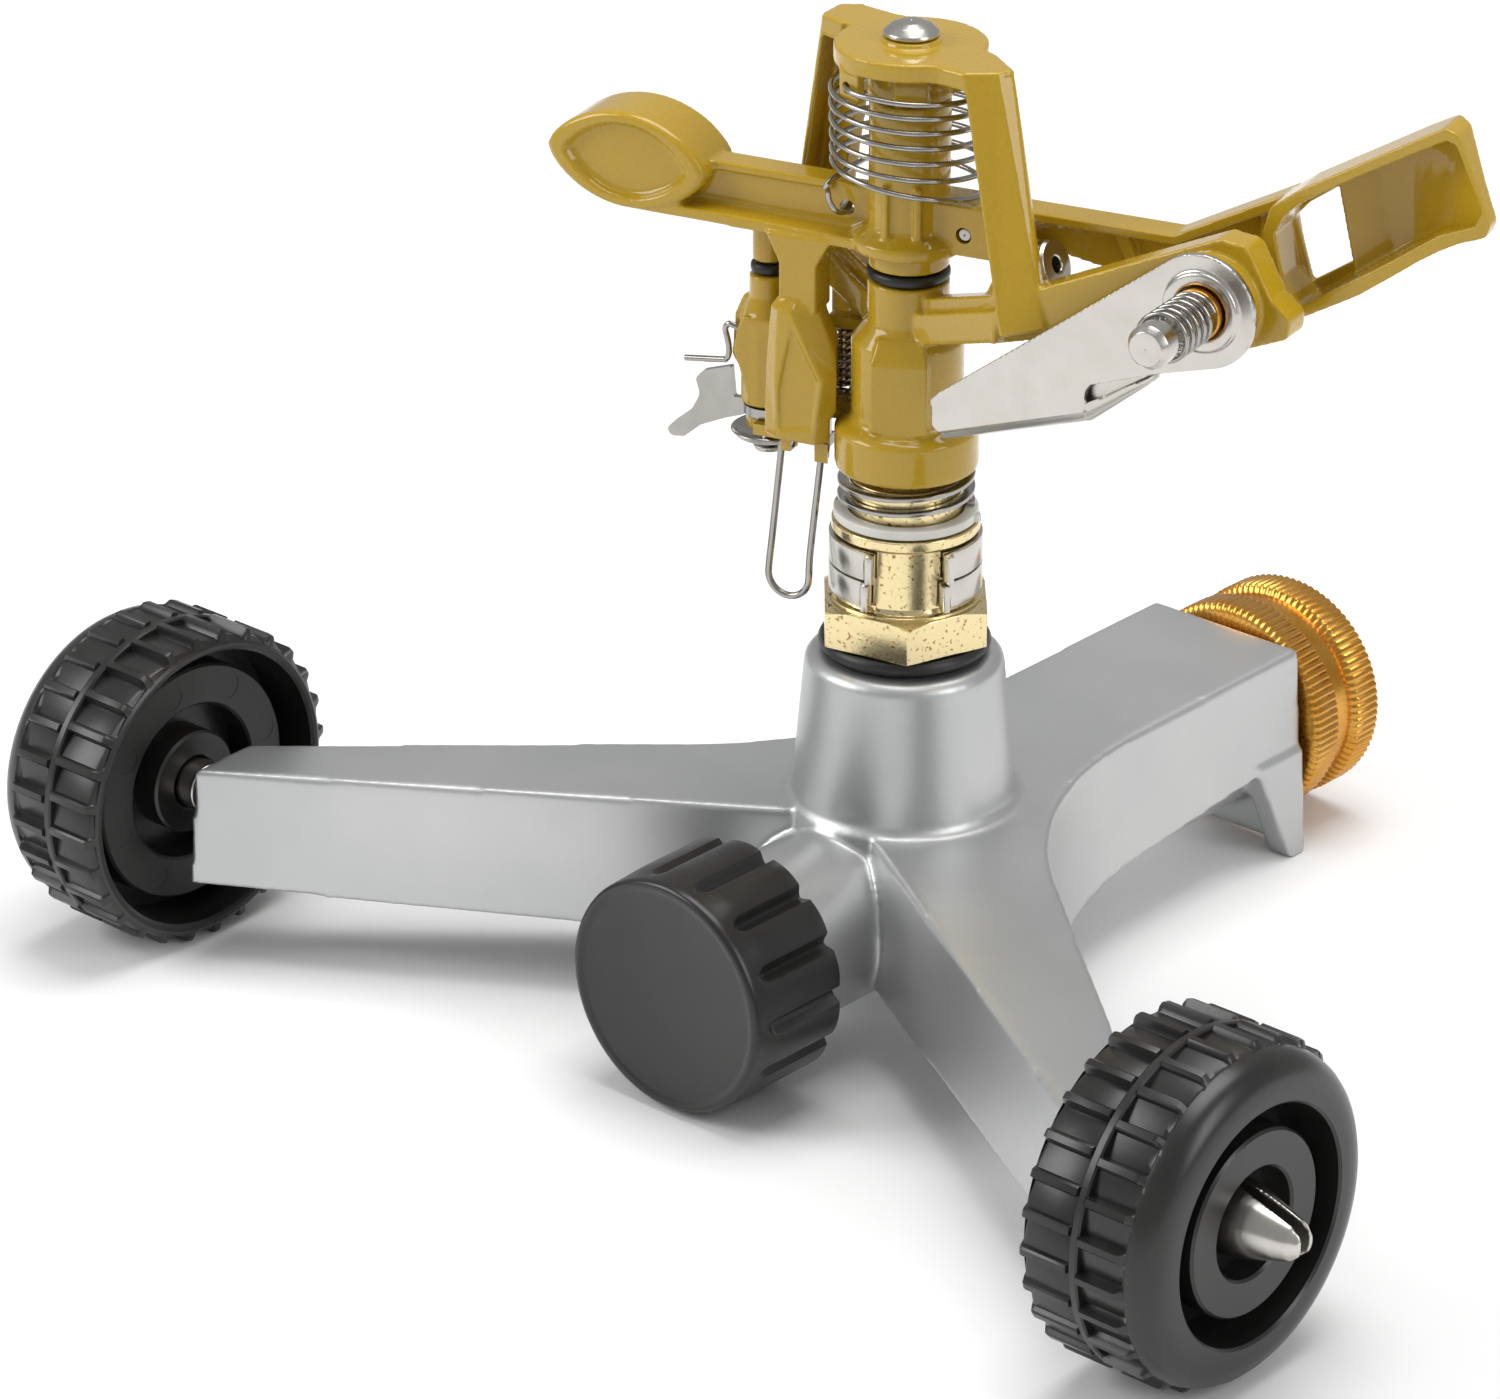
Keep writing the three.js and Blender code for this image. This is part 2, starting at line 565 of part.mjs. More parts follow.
// Tray at the end of the right web that the jet strikes, with a window through its floor.
function spoon() {
  const shell = plate([
    [65.6, 129], [71.3, 132.6], [82.5, 140.7], [90.6, 145.4], [95.6, 147.4], [96.8, 150.8], [91.8, 163.9],
    [90, 164.6], [65.5, 149.8], [61, 146.4], [60, 142.5], [61.8, 134.5]], -SPOON_BACK, SPOON_FRONT);
  const root = plate([
    [57, 128], [64.4, 129.9], [63.2, 135.4], [61.6, 142.4], [62.6, 147], [57, 144]], -WEB_BACK, -1);
  const tray = plate([
    [66.4, 131.3], [72.6, 134.7], [82, 141.5], [90.4, 146.9], [94.3, 148.9], [94.9, 151], [90.3, 162.6],
    [66.2, 148], [63.4, 145.4], [61.9, 142.4], [63.4, 135.4]], -SPOON_FLOOR, SPOON_FRONT + 1);
  const windowHole = plate([
    [65.2, 132.8], [72.8, 137.9], [69.3, 148.7], [64.4, 145.2], [62.2, 142.6]], -WEB_BACK - 1, 0);
  // the floor curves forwards to the end wall
  const cheek = join(...[[84, -0.9], [87.5, 0.6], [90.5, 2.4]].map(([s, w]) => solid(plate([
    [s, 142.9 + (s - 84) * 0.62], [95, 149.4], [95, 151], [90.6, 163], [s - 4.4, 160.6 + (s - 87.5) * 0.6]],
  -SPOON_BACK, w))));
  return join(cut(join(solid(shell), solid(root)), solid(tray), solid(windowHole)), cheek);
}

function counterweight() {
  const halfLength = 13.9;
  const halfHeight = 8;
  const points = [];
  const steps = 10;
  for (let i = 0; i < steps; i += 1) {
    const t = -1 + (2 * i) / steps;
    points.push([t * halfLength, -halfHeight * (1 - t * t) ** 0.75]);
  }
  for (let i = 0; i < steps; i += 1) {
    const t = 1 - (2 * i) / steps;
    points.push([t * halfLength, halfHeight * (1 - t * t) ** 0.75]);
  }
  const place = ([s, z], k) => [-46 + s * k, 137.4 + z * k];
  const lens = solid(plate(points.map((p) => place(p, 1)), -5, 6));
  const recess = solid(plate(points.map((p) => place(p, 0.78)), 4.2, 7));
  return cut(lens, recess);
}

function strikerBlock() {
  const body = loft(
    [[-22.4, -2, 95.9], [-8, -2, 95.9], [-8, -6.6, 95.9], [-11.6, -8.4, 95.9], [-21.4, -8.4, 95.9]],
    [[-20.2, -2, 118], [-11, -2, 118], [-11, -6, 118], [-12.6, -7.4, 118], [-19.4, -7.4, 118]]);
  const bodySweep = solid(turned([
    [0, 90], [SOCKET_R + 0.7, 90], [SOCKET_R + 0.7, 100.4], [BARREL_R + 0.6, 102],
    [BARREL_R + 0.6, 125], [0, 125]]));
  return cut(solid(body), bodySweep);
}

function hammerArm() {
  const hub = solid(turned([
    [0, 126.1], [HUB_R, 126.1], [HUB_R, HUB_FOOT_Z], [9, HUB_FOOT_Z], [9, 130.6], [HUB_R, 132],
    [HUB_R, HUB_TOP_Z], [0, HUB_TOP_Z]]));
  const leftWeb = solid(plate([
    [-35, 129.4], [0, 129.4], [0, 137.4], [-16, 137.4], [-35, 137.6]], -1.8, 1.6));
  const leftFlange = solid(plate([[-46, 129.2], [-4, 128.6], [-4, 130.8], [-46, 131.2]], -3, 5));
  const topRidge = solid(plate([[-34, 136.3], [-12, 136.3], [-12, 137.7], [-34, 137.9]], -2.6, 2.4));
  const rightWeb = solid(plate([
    [0, 129.4], [8, 129.4], [24, 130.2], [40, 127.5], [60, 127.8], [64.4, 129.9], [63.2, 135.4],
    [61.6, 142.4], [62.6, 147], [43.5, 137.2], [0, 137.2]], -WEB_BACK, -WEB_FRONT));
  const rightRidge = solid(plate([
    [0, 135.8], [43.8, 135.8], [62, 145], [61.6, 146.8], [43.5, 137.2], [0, 137.2]],
  -WEB_BACK, 0.6));
  const rib = solid(plate([[33.2, 136.6], [35.6, 136.6], [39.2, 128.6], [36.8, 128.6]], -WEB_BACK, -0.6));
  const rootFill = solid(plate([[0, 129.2], [10, 129.2], [8, 137.2], [0, 137.2]], -4.6, 3));
  const column = solid(box(-19.4, -13, -6, -0.4, 117, 129.2));
  const stub = solid(moved(cylinder(2.6, 121.3, 129.4, 20), shift(POST_S, -POST_W, 0)));
  const shaftBore = solid(cylinder(3.4, 120, 160, 24));
  const limitHole = solid(moved(cylinder(1 + GAP, -10, 10, 14), chain(shift(12.6, 0, 132.6), turnX(90))));
  const springHole = solid(moved(cylinder(1, -6, 6, 12), chain(shift(-9.6, 0, 134), turnX(90))));
  const whole = join(
    hub, leftWeb, leftFlange, topRidge, rightWeb, rightRidge, rib, rootFill, column, stub,
    counterweight(), spoon(), strikerBlock());
  return cut(whole, shaftBore, limitHole, springHole);
}

function armSpring() {
  return wire(new Helix(10.6, 139.2, 152.4, 6.6, 2.6), 0.45, 92, 4);
}

// ---------------------------------------------------------------- deflector

function deflectorFlap() {
  const tip = [[12.6, 105.6], [12, 110.6]];
  const centre = [FLAP_PIVOT_S, FLAP_PIVOT_Z];
  const r = 8.9;
  const roundEnd = [];
  for (let i = 0; i <= 12; i += 1) {
    const a = (-72 + (198 * i) / 12) * DEG;
    roundEnd.push([centre[0] + r * Math.cos(a), centre[1] + r * Math.sin(a)]);
  }
  const sheet = solid(plate([
    tip[0], [38.6, 114.2], [39.2, 118.2], [50.6, 122.6], ...roundEnd, tip[1]], FLAP_W, FLAP_W + 1.2));
  const lip = solid(plate([
    tip[0], [38.6, 114.2], [50.4, 122.5], [50.2, 123.3], [38.2, 115.4], [13, 106.8]], 10.2, FLAP_W + 0.1));
  const hole = solid(moved(
    cylinder(4.3, FLAP_W - 5, FLAP_W + 5, 24), chain(shift(FLAP_PIVOT_S, 0, FLAP_PIVOT_Z), turnX(90))));
  return cut(join(sheet, lip), hole);
}

const pivotAxis = chain(streamFrame, shift(FLAP_PIVOT_S, 0, FLAP_PIVOT_Z), turnX(90));

function deflectorBolt() {
  return solid(moved(turned([
    [0, 4.6], [2, 4.6], [2, 28.4], [3.4, 28.4], [3.4, 32], [3, 32.5], [0, 32.5]], 20), pivotAxis));
}

function deflectorBush() {
  return solid(moved(ring(2.4, 4, FLAP_W, FLAP_W + 3, 24), pivotAxis));
}

function deflectorSpring() {
  return moved(wire(new Helix(3.7, 17.4, 27.7, 5.5), 0.42, 55, 4), pivotAxis);
}

// ---------------------------------------------------------------- trip mechanism

const postAxis = chain(armFrame, shift(POST_S, -POST_W, 0));
const WIRE_W = 4.4;
const WIRE_PIVOT_Z = 94.2;

function tripLever() {
  const plateDisc = solid(cylinder(4, 95.7, 97.2, 20));
  const wing = solid(moved(plate([
    [-27, 95.7], [-28.9, 95.7], [-29.2, 94.8], [-30.5, 94.4], [-33.4, 92.4], [-37.8, 89.8], [-40.6, 90],
    [-41.2, 91.2], [-38.2, 93.8], [-36.3, 97.2], [-36, 100], [-32.2, 103.6], [-31.9, 97.2],
    [-27, 97.2]], -0.6, 0.6), shift(-POST_S, 0, 0)));
  const pinHole = solid(cylinder(1.3 + GAP, 90, 120, 16));
  return applied(cut(join(plateDisc, wing), pinHole), postAxis);
}

function tripYoke() {
  const bar = solid(box(-25.2, -12, -2.9, 0, 93.6, 95.4));
  const collar = solid(moved(cylinder(3.6, 93.6, 95.4, 20), shift(POST_S, -POST_W, 0)));
  const leftEar = solid(box(-19, -17.4, -5.7, -2.8, 93.1, 95.4));
  const rightEar = solid(box(-13.6, -10.8, -5.7, -2.8, 91.2, 95.4));
  const socketSweep = solid(cylinder(SOCKET_R + 1, 90, 100));
  const pinHole = solid(moved(cylinder(1.3 + GAP, 90, 120, 16), shift(POST_S, -POST_W, 0)));
  const wireHole = solid(moved(
    cylinder(0.85, -25, -5, 12), chain(shift(0, -WIRE_W, WIRE_PIVOT_Z), turnY(90))));
  return applied(cut(join(bar, collar, leftEar, rightEar), pinHole, socketSweep, wireHole), armFrame);
}

function tripPivotPin() {
  return solid(moved(turned([
    [0, 89.4], [2.4, 89.4], [2.6, 90.4], [1.3, 90.8], [1.3, 117], [0, 117]], 18), postAxis));
}

function tripDish() {
  return solid(moved(turned([
    [1.6, 91.2], [3.6, 91.2], [5.4, 92], [6.1, 92.9], [5.7, 93.2], [5, 92.6], [3.4, 92],
    [1.6, 92]], 28), postAxis));
}

function polyWire(points, radius, steps, sides = 5) {
  const curve = new THREE.CatmullRomCurve3(points.map((p) => new THREE.Vector3(...p)), false, 'centripetal');
  return wire(curve, radius, steps, sides);
}

// Hairpin that hangs from the yoke and meets the collars' ends.
function tripWire() {
  const y = -WIRE_W;
  const z = WIRE_PIVOT_Z;
  return moved(polyWire([
    [-17.8, y, z], [-19.5, y, z], [-20.2, y, z - 0.6], [-20.4, y, 91.6], [-22.2, y, 73.2], [-22, y, 70],
    [-20.4, y, 68], [-18.2, y, 67.9], [-16, y, 70], [-15, y, 73.4], [-14.5, y, 91], [-14.5, y, z - 0.6],
    [-14, y, z], [-12.6, y, z]], 0.55, 48), armFrame);
}

function tripSpring() {
  return moved(wire(new Helix(1.5, 101.2, 111.4, 7), 0.3, 56, 4), chain(armFrame, shift(-12.4, 3.2, 0)));
}

function latchWire() {
  return moved(polyWire([
    [-31.6, 0, 109.6], [-32.4, 0, 109.4], [-32.6, 0, 108.4], [-32.6, 0, 105.2], [-33.2, 0, 104.3],
    [-34.2, 0, 104.1], [-39, 0, 103.4]], 0.5, 18), armFrame);
}

// ---------------------------------------------------------------- assembly

addPiece('base_casting', baseCasting(), zinc());
addPiece('bearing_nipple', bearingNipple(), brass());
addPiece('base_o_ring', solid(turned([
  [9.8, 61.3], [12.6, 61.2], [13.8, 62.2], [13.9, 63], [13.2, 63.7], [9.8, 63.7]])), rubber());

for (const [name, side] of [['left', -1], ['right', 1]]) {
  const wheel = addPiece(`wheel_${name}`, wheelSolid(), plastic());
  wheel.applyMatrix4(wheelMatrix(side));
  const pin = addPiece(`axle_pin_${name}`, axlePin(), steel());
  pin.applyMatrix4(chain(shift(side * (WHEEL_X_IN - 1.4), WHEEL_Y, WHEEL_R), turnY(side * 90)));
}

addPiece('end_cap', endCap(), plastic()).applyMatrix4(capMatrix);
addPiece('cap_gasket', solid(ring(8.6, 14, 4.1, 6.2)), rubber()).applyMatrix4(capMatrix);

addPiece('hose_tail', hoseTail(), brass()).applyMatrix4(inletMatrix(INLET_Y));
addPiece('hose_swivel_nut', swivelNut(), anodised()).applyMatrix4(inletMatrix(NUT_BACK_Y));
addPiece('hose_washer', solid(ring(7, 12.4, 8.3, 10.8)), rubber()).applyMatrix4(inletMatrix(INLET_Y));

addPiece('stem_tube', stemTube(), brass());
addPiece('stem_washer_lower', solid(ring(STEM_R + GAP, 8.9, 46.3, 47.1)), nylon());
addPiece('stem_seal', solid(ring(STEM_R + GAP, 8.9, 47.4, 48.4)), rubber());
addPiece('stem_washer_upper', solid(ring(STEM_R + GAP, 8.9, 48.7, 49.5)), nylon());
addPiece('trip_collar_lower', tripCollar(71.9, 76.3, GAP_AZIMUTH - 32, GAP_AZIMUTH + 29), steel());
addPiece('trip_collar_upper', tripCollar(76.6, 81.2, GAP_AZIMUTH - 29, GAP_AZIMUTH + 32), steel());
addPiece('bearing_washer', solid(ring(SPIGOT_R + GAP, 11.4, 83.8, 85.3)), nylon());
addPiece('bearing_spring', bearingSpring(), steel());

addPiece('sprinkler_body', sprinklerBody(), gold());
addPiece('nozzle', nozzle(), steel());
addPiece('fulcrum_screw', fulcrumScrew(), steel());
addPiece('neck_washer', solid(ring(FULCRUM_R + GAP, 6.4, 123.5, 125.8)), rubber());
addPiece('deflector_bolt', deflectorBolt(), steel());
addPiece('deflector_bush', deflectorBush(), anodised());
addPiece('deflector_spring', deflectorSpring(), steel());
addPiece('deflector_flap', applied(deflectorFlap(), streamFrame), steel());

addPiece('hammer_arm', applied(hammerArm(), armFrame), gold());
addPiece('arm_bushing', solid(ring(FULCRUM_R + GAP, 3.1, 127, 152.4, 24)), nylon());
addPiece('arm_limit_pin', solid(moved(
  cylinder(1, -5.6, 2.8, 14), chain(armFrame, shift(12.6, 0, 132.6), turnX(90)))), steel());
addPiece('arm_spring', armSpring(), steel());

addPiece('trip_lever', tripLever(), steel());
addPiece('trip_yoke', tripYoke(), gold());
addPiece('trip_pivot_pin', tripPivotPin(), steel());
addPiece('trip_dish_washer', tripDish(), steel());
addPiece('trip_wire', tripWire(), steel());
addPiece('trip_spring', tripSpring(), steel());
addPiece('trip_latch_wire', latchWire(), steel());
addPiece('post_o_ring', solid(moved(ring(1.2, 2.7, 119.3, 121, 20), postAxis)), rubber());

// from the front of the wheels to the end of the swivel nut
const CENTRE_Y = (WHEEL_Y - WHEEL_R + NUT_FRONT_Y) / 2;
for (const piece of sprinkler.children) piece.applyMatrix4(shift(0, -CENTRE_Y, 0));

export default sprinkler;
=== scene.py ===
"""Looks for the impact sprinkler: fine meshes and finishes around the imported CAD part.

Shapes are laid out in millimetres from the riser's axis at floor level, +Y to the hose coupling and
+X to the right wheel, and LAYOUT takes them to the row frame in metres.
"""

import json
import math

import bmesh
import bpy
from mathutils import Matrix, Vector


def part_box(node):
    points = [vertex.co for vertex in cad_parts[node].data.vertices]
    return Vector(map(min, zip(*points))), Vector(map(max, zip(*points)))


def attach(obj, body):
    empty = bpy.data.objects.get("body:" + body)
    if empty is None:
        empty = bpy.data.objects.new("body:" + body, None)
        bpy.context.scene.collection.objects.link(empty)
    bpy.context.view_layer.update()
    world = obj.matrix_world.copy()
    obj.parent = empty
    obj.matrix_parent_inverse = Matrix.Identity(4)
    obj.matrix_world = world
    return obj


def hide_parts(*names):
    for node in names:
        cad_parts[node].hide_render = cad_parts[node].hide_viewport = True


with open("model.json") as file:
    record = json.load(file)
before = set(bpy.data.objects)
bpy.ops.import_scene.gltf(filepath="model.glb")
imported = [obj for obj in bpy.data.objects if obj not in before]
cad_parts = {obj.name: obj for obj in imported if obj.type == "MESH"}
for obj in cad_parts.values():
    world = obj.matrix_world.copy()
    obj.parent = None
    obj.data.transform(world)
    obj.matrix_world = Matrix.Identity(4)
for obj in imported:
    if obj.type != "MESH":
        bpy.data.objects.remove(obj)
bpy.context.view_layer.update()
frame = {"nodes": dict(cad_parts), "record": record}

# ---------------------------------------------------------------- driving dimensions, mm

GAP = 0.3
WHEEL_R = 27.0
WHEEL_Y = -61.0
WHEEL_X_IN = 96.2
WHEEL_WIDTH = 23.4
AXLE_R = 4.2

WATER_Z = 20.3
TUBE_R = 14.2
ARM_TOP_Z = 36.0
INLET_Y = 84.0
BOSS_TOP_Z = 60.8
BOSS_TOP_R = 15.8
BOSS_FOOT_R = 17.8

CAP_FRONT_Y = -56.6
CAP_LENGTH = 19.4
CAP_R = 19.6
NUT_BACK_Y = 85.6
NUT_LENGTH = 17.5
NUT_R = 18.9

HEX_R = 25.4 / math.sqrt(3)
HEX_Z = 64.0
HEX_TOP_Z = 70.6
NIPPLE_R = 10.9
RIM_R = 11.7
RIM_TOP_Z = 83.5
SPIGOT_R = 8.9
STEM_R = 5.3

SOCKET_Z = 92.3
SOCKET_R = 11.3
SOCKET_TOP_Z = 99.4
BARREL_R = 8.8
BARREL_TOP_Z = 113.4
NECK_R = 6.4
NECK_FOOT_Z = 116.4
NECK_TOP_Z = 123.2

BRIDGE_TOP_Z = 161.4
BRIDGE_PLATE = 2.9
BRIDGE_DISC_R = 11.8
BAR_SLOPE = 0.34
HUB_R = 6.3
HUB_FOOT_Z = 128.7
HUB_TOP_Z = 152.6
HEAD_GRAIN = 0.3

FLAP_W = 13.8
SHEET_GRAIN = 0.24
FLAP_PIVOT = (57.6, 133.9)
POST_S = -25.0
POST_W = -2.5
PIVOT_HOLE_R = 1.6
WIRE_W = 4.4
WIRE_PIVOT_Z = 94.2

FULL_TURN = 2 * math.pi
GAP_AZIMUTH = -48.0


# ---------------------------------------------------------------- frames of reference

def turn(axis, degrees):
    return Matrix.Rotation(math.radians(degrees), 4, axis)


def shift(x, y, z):
    return Matrix.Translation((x, y, z))


def middle(node):
    low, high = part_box(node)
    return (low + high) / 2


def between(start, end):
    """Frame at one point whose Z axis points to another."""
    along = Vector(end) - Vector(start)
    return shift(*start) @ along.to_track_quat("Z", "Y").to_matrix().to_4x4()


def inlet_axis(y):
    return shift(0, y, WATER_Z) @ turn("X", -90)


RISER = middle("fulcrum_screw")
LAYOUT = shift(RISER.x, RISER.y, 0) @ Matrix.Scale(0.001, 4)
BRIDGE = turn("Z", -11)
STREAM = turn("Z", 11)
ARM = turn("Z", 16)
NOZZLE_AXIS = STREAM @ shift(0, 0, 120.4) @ turn("Y", 90 - 21)
PIVOT = shift(FLAP_PIVOT[0], 0, FLAP_PIVOT[1]) @ turn("X", 90)
PIVOT_AXIS = STREAM @ PIVOT
KNEE_AXIS = between((21.6, -4.2, 122.7), (19.4, 3.8, 128))
POST = shift(POST_S, -POST_W, 0)
POST_AXIS = ARM @ POST
PIN_AXIS = shift(10.4, 0, 132.6) @ turn("X", 90)
CAP_AXIS = shift(0, CAP_FRONT_Y, WATER_Z) @ turn("X", -90)


# ---------------------------------------------------------------- meshes

def mesh_of(verts, faces):
    mesh = bpy.data.meshes.new("shape")
    mesh.from_pydata([tuple(v) for v in verts], [], faces)
    work = bmesh.new()
    work.from_mesh(mesh)
    bmesh.ops.recalc_face_normals(work, faces=work.faces)
    work.to_mesh(mesh)
    work.free()
    return mesh


def placed(mesh, matrix):
    mesh.transform(matrix)
    if matrix.determinant() < 0:
        mesh.flip_normals()
    return mesh


def rounded(points, radius=0.0, steps=4):
    """Closed outline with its corners rounded; a point may carry its own radius as a third value."""
    result = []
    count = len(points)
    for i, point in enumerate(points):
        here = Vector(point[:2])
        before = Vector(points[i - 1][:2]) - here
        after = Vector(points[(i + 1) % count][:2]) - here
        r = point[2] if len(point) > 2 else radius
        half = before.angle(after, math.pi) / 2
        if r <= 0 or half > math.radians(86):
            result.append(tuple(here))
            continue
        reach = min(r / math.tan(half), before.length * 0.48, after.length * 0.48)
        start = here + before.normalized() * reach
        end = here + after.normalized() * reach
        for k in range(steps + 1):
            t = k / steps
            spot = start * (1 - t) ** 2 + here * (2 * t * (1 - t)) + end * t ** 2
            result.append(tuple(spot))
    return result


def relief(stations, angles):
    """Solid about Z from (radius, z) stations, where a radius may be a function of the angle."""
    verts = []
    rows = []
    for radius, z in stations:
        if radius == 0:
            rows.append([len(verts)])
            verts.append((0, 0, z))
            continue
        rows.append(list(range(len(verts), len(verts) + len(angles))))
        for a in angles:
            r = radius(a) if callable(radius) else radius
            verts.append((r * math.cos(a), r * math.sin(a), z))
    pairs = list(zip(rows, rows[1:]))
    if len(rows[0]) > 1:
        pairs.append((rows[-1], rows[0]))
    faces = []
    count = len(angles)
    for low, high in pairs:
        for i in range(count):
            j = (i + 1) % count
            if len(low) == 1:
                faces.append((low[0], high[i], high[j]))
            elif len(high) == 1:
                faces.append((low[i], low[j], high[0]))
            else:
                faces.append((low[i], low[j], high[j], high[i]))
    return mesh_of(verts, faces)


def even_angles(count):
    return [FULL_TURN * i / count for i in range(count)]


def lathe(profile, radius=0.0, segments=96):
    return relief(rounded(profile, radius), even_angles(segments))


def cylinder(r, z0, z1, segments=64):
    return lathe([(0, z0), (r, z0), (r, z1), (0, z1)], 0, segments)


def ring(r_in, r_out, z0, z1, radius=0.15):
    return lathe([(r_in, z0), (r_out, z0), (r_out, z1), (r_in, z1)], radius)


def loft(*layers):
    """Solid through outlines with the same number of 3-D points."""
    count = len(layers[0])
    verts = [p for layer in layers for p in layer]
    faces = [tuple(range(count)), tuple(range(len(verts) - count, len(verts)))]
    for k in range(len(layers) - 1):
        for i in range(count):
            j = (i + 1) % count
            low = k * count
            faces.append((low + i, low + j, low + count + j, low + count + i))
    return mesh_of(verts, faces)


def slab(outline, z0, z1):
    return loft([(x, y, z0) for x, y in outline], [(x, y, z1) for x, y in outline])


def upright(outline, w0, w1):
    """Outline of (s, z) pairs in a vertical plane, thick from w0 to w1, where w is -Y."""
    return loft([(s, -w0, z) for s, z in outline], [(s, -w1, z) for s, z in outline])


def box(x0, x1, y0, y1, z0, z1):
    return slab([(x0, y0), (x1, y0), (x1, y1), (x0, y1)], z0, z1)


def sweep(path, section):
    """Section, a list of (across, along binormal) pairs, carried along a path of points."""
    points = [Vector(p) for p in path]
    tangents = []
    for i in range(len(points)):
        ahead = points[min(i + 1, len(points) - 1)]
        behind = points[max(i - 1, 0)]
        tangents.append((ahead - behind).normalized())
    side = tangents[0].orthogonal().normalized()
    layers = []
    for point, tangent in zip(points, tangents):
        side = (side - tangent * side.dot(tangent)).normalized()
        up = tangent.cross(side)
        layers.append([point + side * a + up * b for a, b in section])
    return loft(*layers)


def round_section(radius, sides=12):
    return [(radius * math.cos(a), radius * math.sin(a)) for a in even_angles(sides)]


def smooth_path(points, steps=6):
    """Catmull-Rom curve through the points."""
    knots = [Vector(p) for p in points]
    knots = [2 * knots[0] - knots[1], *knots, 2 * knots[-1] - knots[-2]]
    path = []
    for a, b, c, d in zip(knots, knots[1:], knots[2:], knots[3:]):
        for k in range(steps):
            t = k / steps
            path.append(0.5 * ((2 * b) + (c - a) * t + (2 * a - 5 * b + 4 * c - d) * t ** 2
                               + (3 * b - a - 3 * c + d) * t ** 3))
    path.append(knots[-2])
    return path


def helix_points(radius, z0, z1, turns, start, per_turn=40):
    count = int(turns * per_turn)
    points = []
    for i in range(count + 1):
        t = i / count
        a = start + t * turns * FULL_TURN
        points.append(Vector((radius * math.cos(a), radius * math.sin(a), z0 + t * (z1 - z0))))
    return points


def wire(points, radius, sides=12):
    return sweep(points, round_section(radius, sides))


# ---------------------------------------------------------------- joining and smoothing

def linked(mesh):
    item = bpy.data.objects.new("work", mesh)
    bpy.context.scene.collection.objects.link(item)
    return item


def modified(mesh, *steps):
    """The mesh after modifiers, each given as (type, settings)."""
    item = linked(mesh)
    for kind, settings in steps:
        modifier = item.modifiers.new(kind, kind)
        for key, value in settings.items():
            setattr(modifier, key, value)
    graph = bpy.context.evaluated_depsgraph_get()
    result = bpy.data.meshes.new_from_object(item.evaluated_get(graph))
    bpy.data.objects.remove(item)
    return result


def boolean(mesh, others, operation):
    for other in others:
        tool = linked(other)
        mesh = modified(mesh, ("BOOLEAN", {
            "object": tool, "operation": operation, "solver": "MANIFOLD"}))
        bpy.data.objects.remove(tool)
    return mesh


def joined(first, *others):
    return boolean(first, others, "UNION")


def cut(first, *others):
    return boolean(first, others, "DIFFERENCE")


def cast(mesh, grain, rounds):
    """Softens a sharp solid as a die casting is: remeshed at the grain size, then relaxed."""
    return modified(
        mesh,
        ("REMESH", {"mode": "VOXEL", "voxel_size": grain}),
        ("SMOOTH", {"factor": 0.5, "iterations": rounds}))


def bevelled(mesh, width, segments=2):
    return modified(mesh, ("BEVEL", {
        "width": width, "segments": segments, "limit_method": "ANGLE",
        "angle_limit": math.radians(32), "harden_normals": False}))


# ---------------------------------------------------------------- finishes

def new_material(name):
    material = bpy.data.materials.new(name)
    material.use_nodes = True
    return material, material.node_tree.nodes, material.node_tree.links


def finish(name, colour, roughness, metallic=0.0, tint=None, tint_scale=120.0, tint_range=(0.45, 0.6),
           grain_scale=900.0, grain_height=0.00002, coat=0.0, rough_spread=0.06, specular=0.5):
    """Procedural finish: base colour broken up by a tint, a fine bump and uneven roughness."""
    material, nodes, links = new_material(name)
    shader = nodes["Principled BSDF"]
    shader.inputs["Metallic"].default_value = metallic
    shader.inputs["Coat Weight"].default_value = coat
    shader.inputs["Coat Roughness"].default_value = 0.04
    shader.inputs["Specular IOR Level"].default_value = specular

    place = nodes.new("ShaderNodeTexCoord")

    patches = nodes.new("ShaderNodeTexNoise")
    patches.inputs["Scale"].default_value = tint_scale
    patches.inputs["Detail"].default_value = 4
    links.new(place.outputs["Object"], patches.inputs["Vector"])
    ramp = nodes.new("ShaderNodeValToRGB")
    ramp.color_ramp.elements[0].position = tint_range[0]
    ramp.color_ramp.elements[1].position = tint_range[1]
    ramp.color_ramp.elements[0].color = (*colour, 1)
    ramp.color_ramp.elements[1].color = (*(tint or colour), 1)
    links.new(patches.outputs["Fac"], ramp.inputs["Fac"])
    links.new(ramp.outputs["Color"], shader.inputs["Base Color"])

    grain = nodes.new("ShaderNodeTexNoise")
    grain.inputs["Scale"].default_value = grain_scale
    grain.inputs["Detail"].default_value = 3
    links.new(place.outputs["Object"], grain.inputs["Vector"])
    spread = nodes.new("ShaderNodeMapRange")
    spread.inputs["To Min"].default_value = roughness - rough_spread
    spread.inputs["To Max"].default_value = roughness + rough_spread
    links.new(grain.outputs["Fac"], spread.inputs["Value"])
    links.new(spread.outputs["Result"], shader.inputs["Roughness"])
    bump = nodes.new("ShaderNodeBump")
    bump.inputs["Distance"].default_value = grain_height
    links.new(grain.outputs["Fac"], bump.inputs["Height"])
    links.new(bump.outputs["Normal"], shader.inputs["Normal"])
    return material


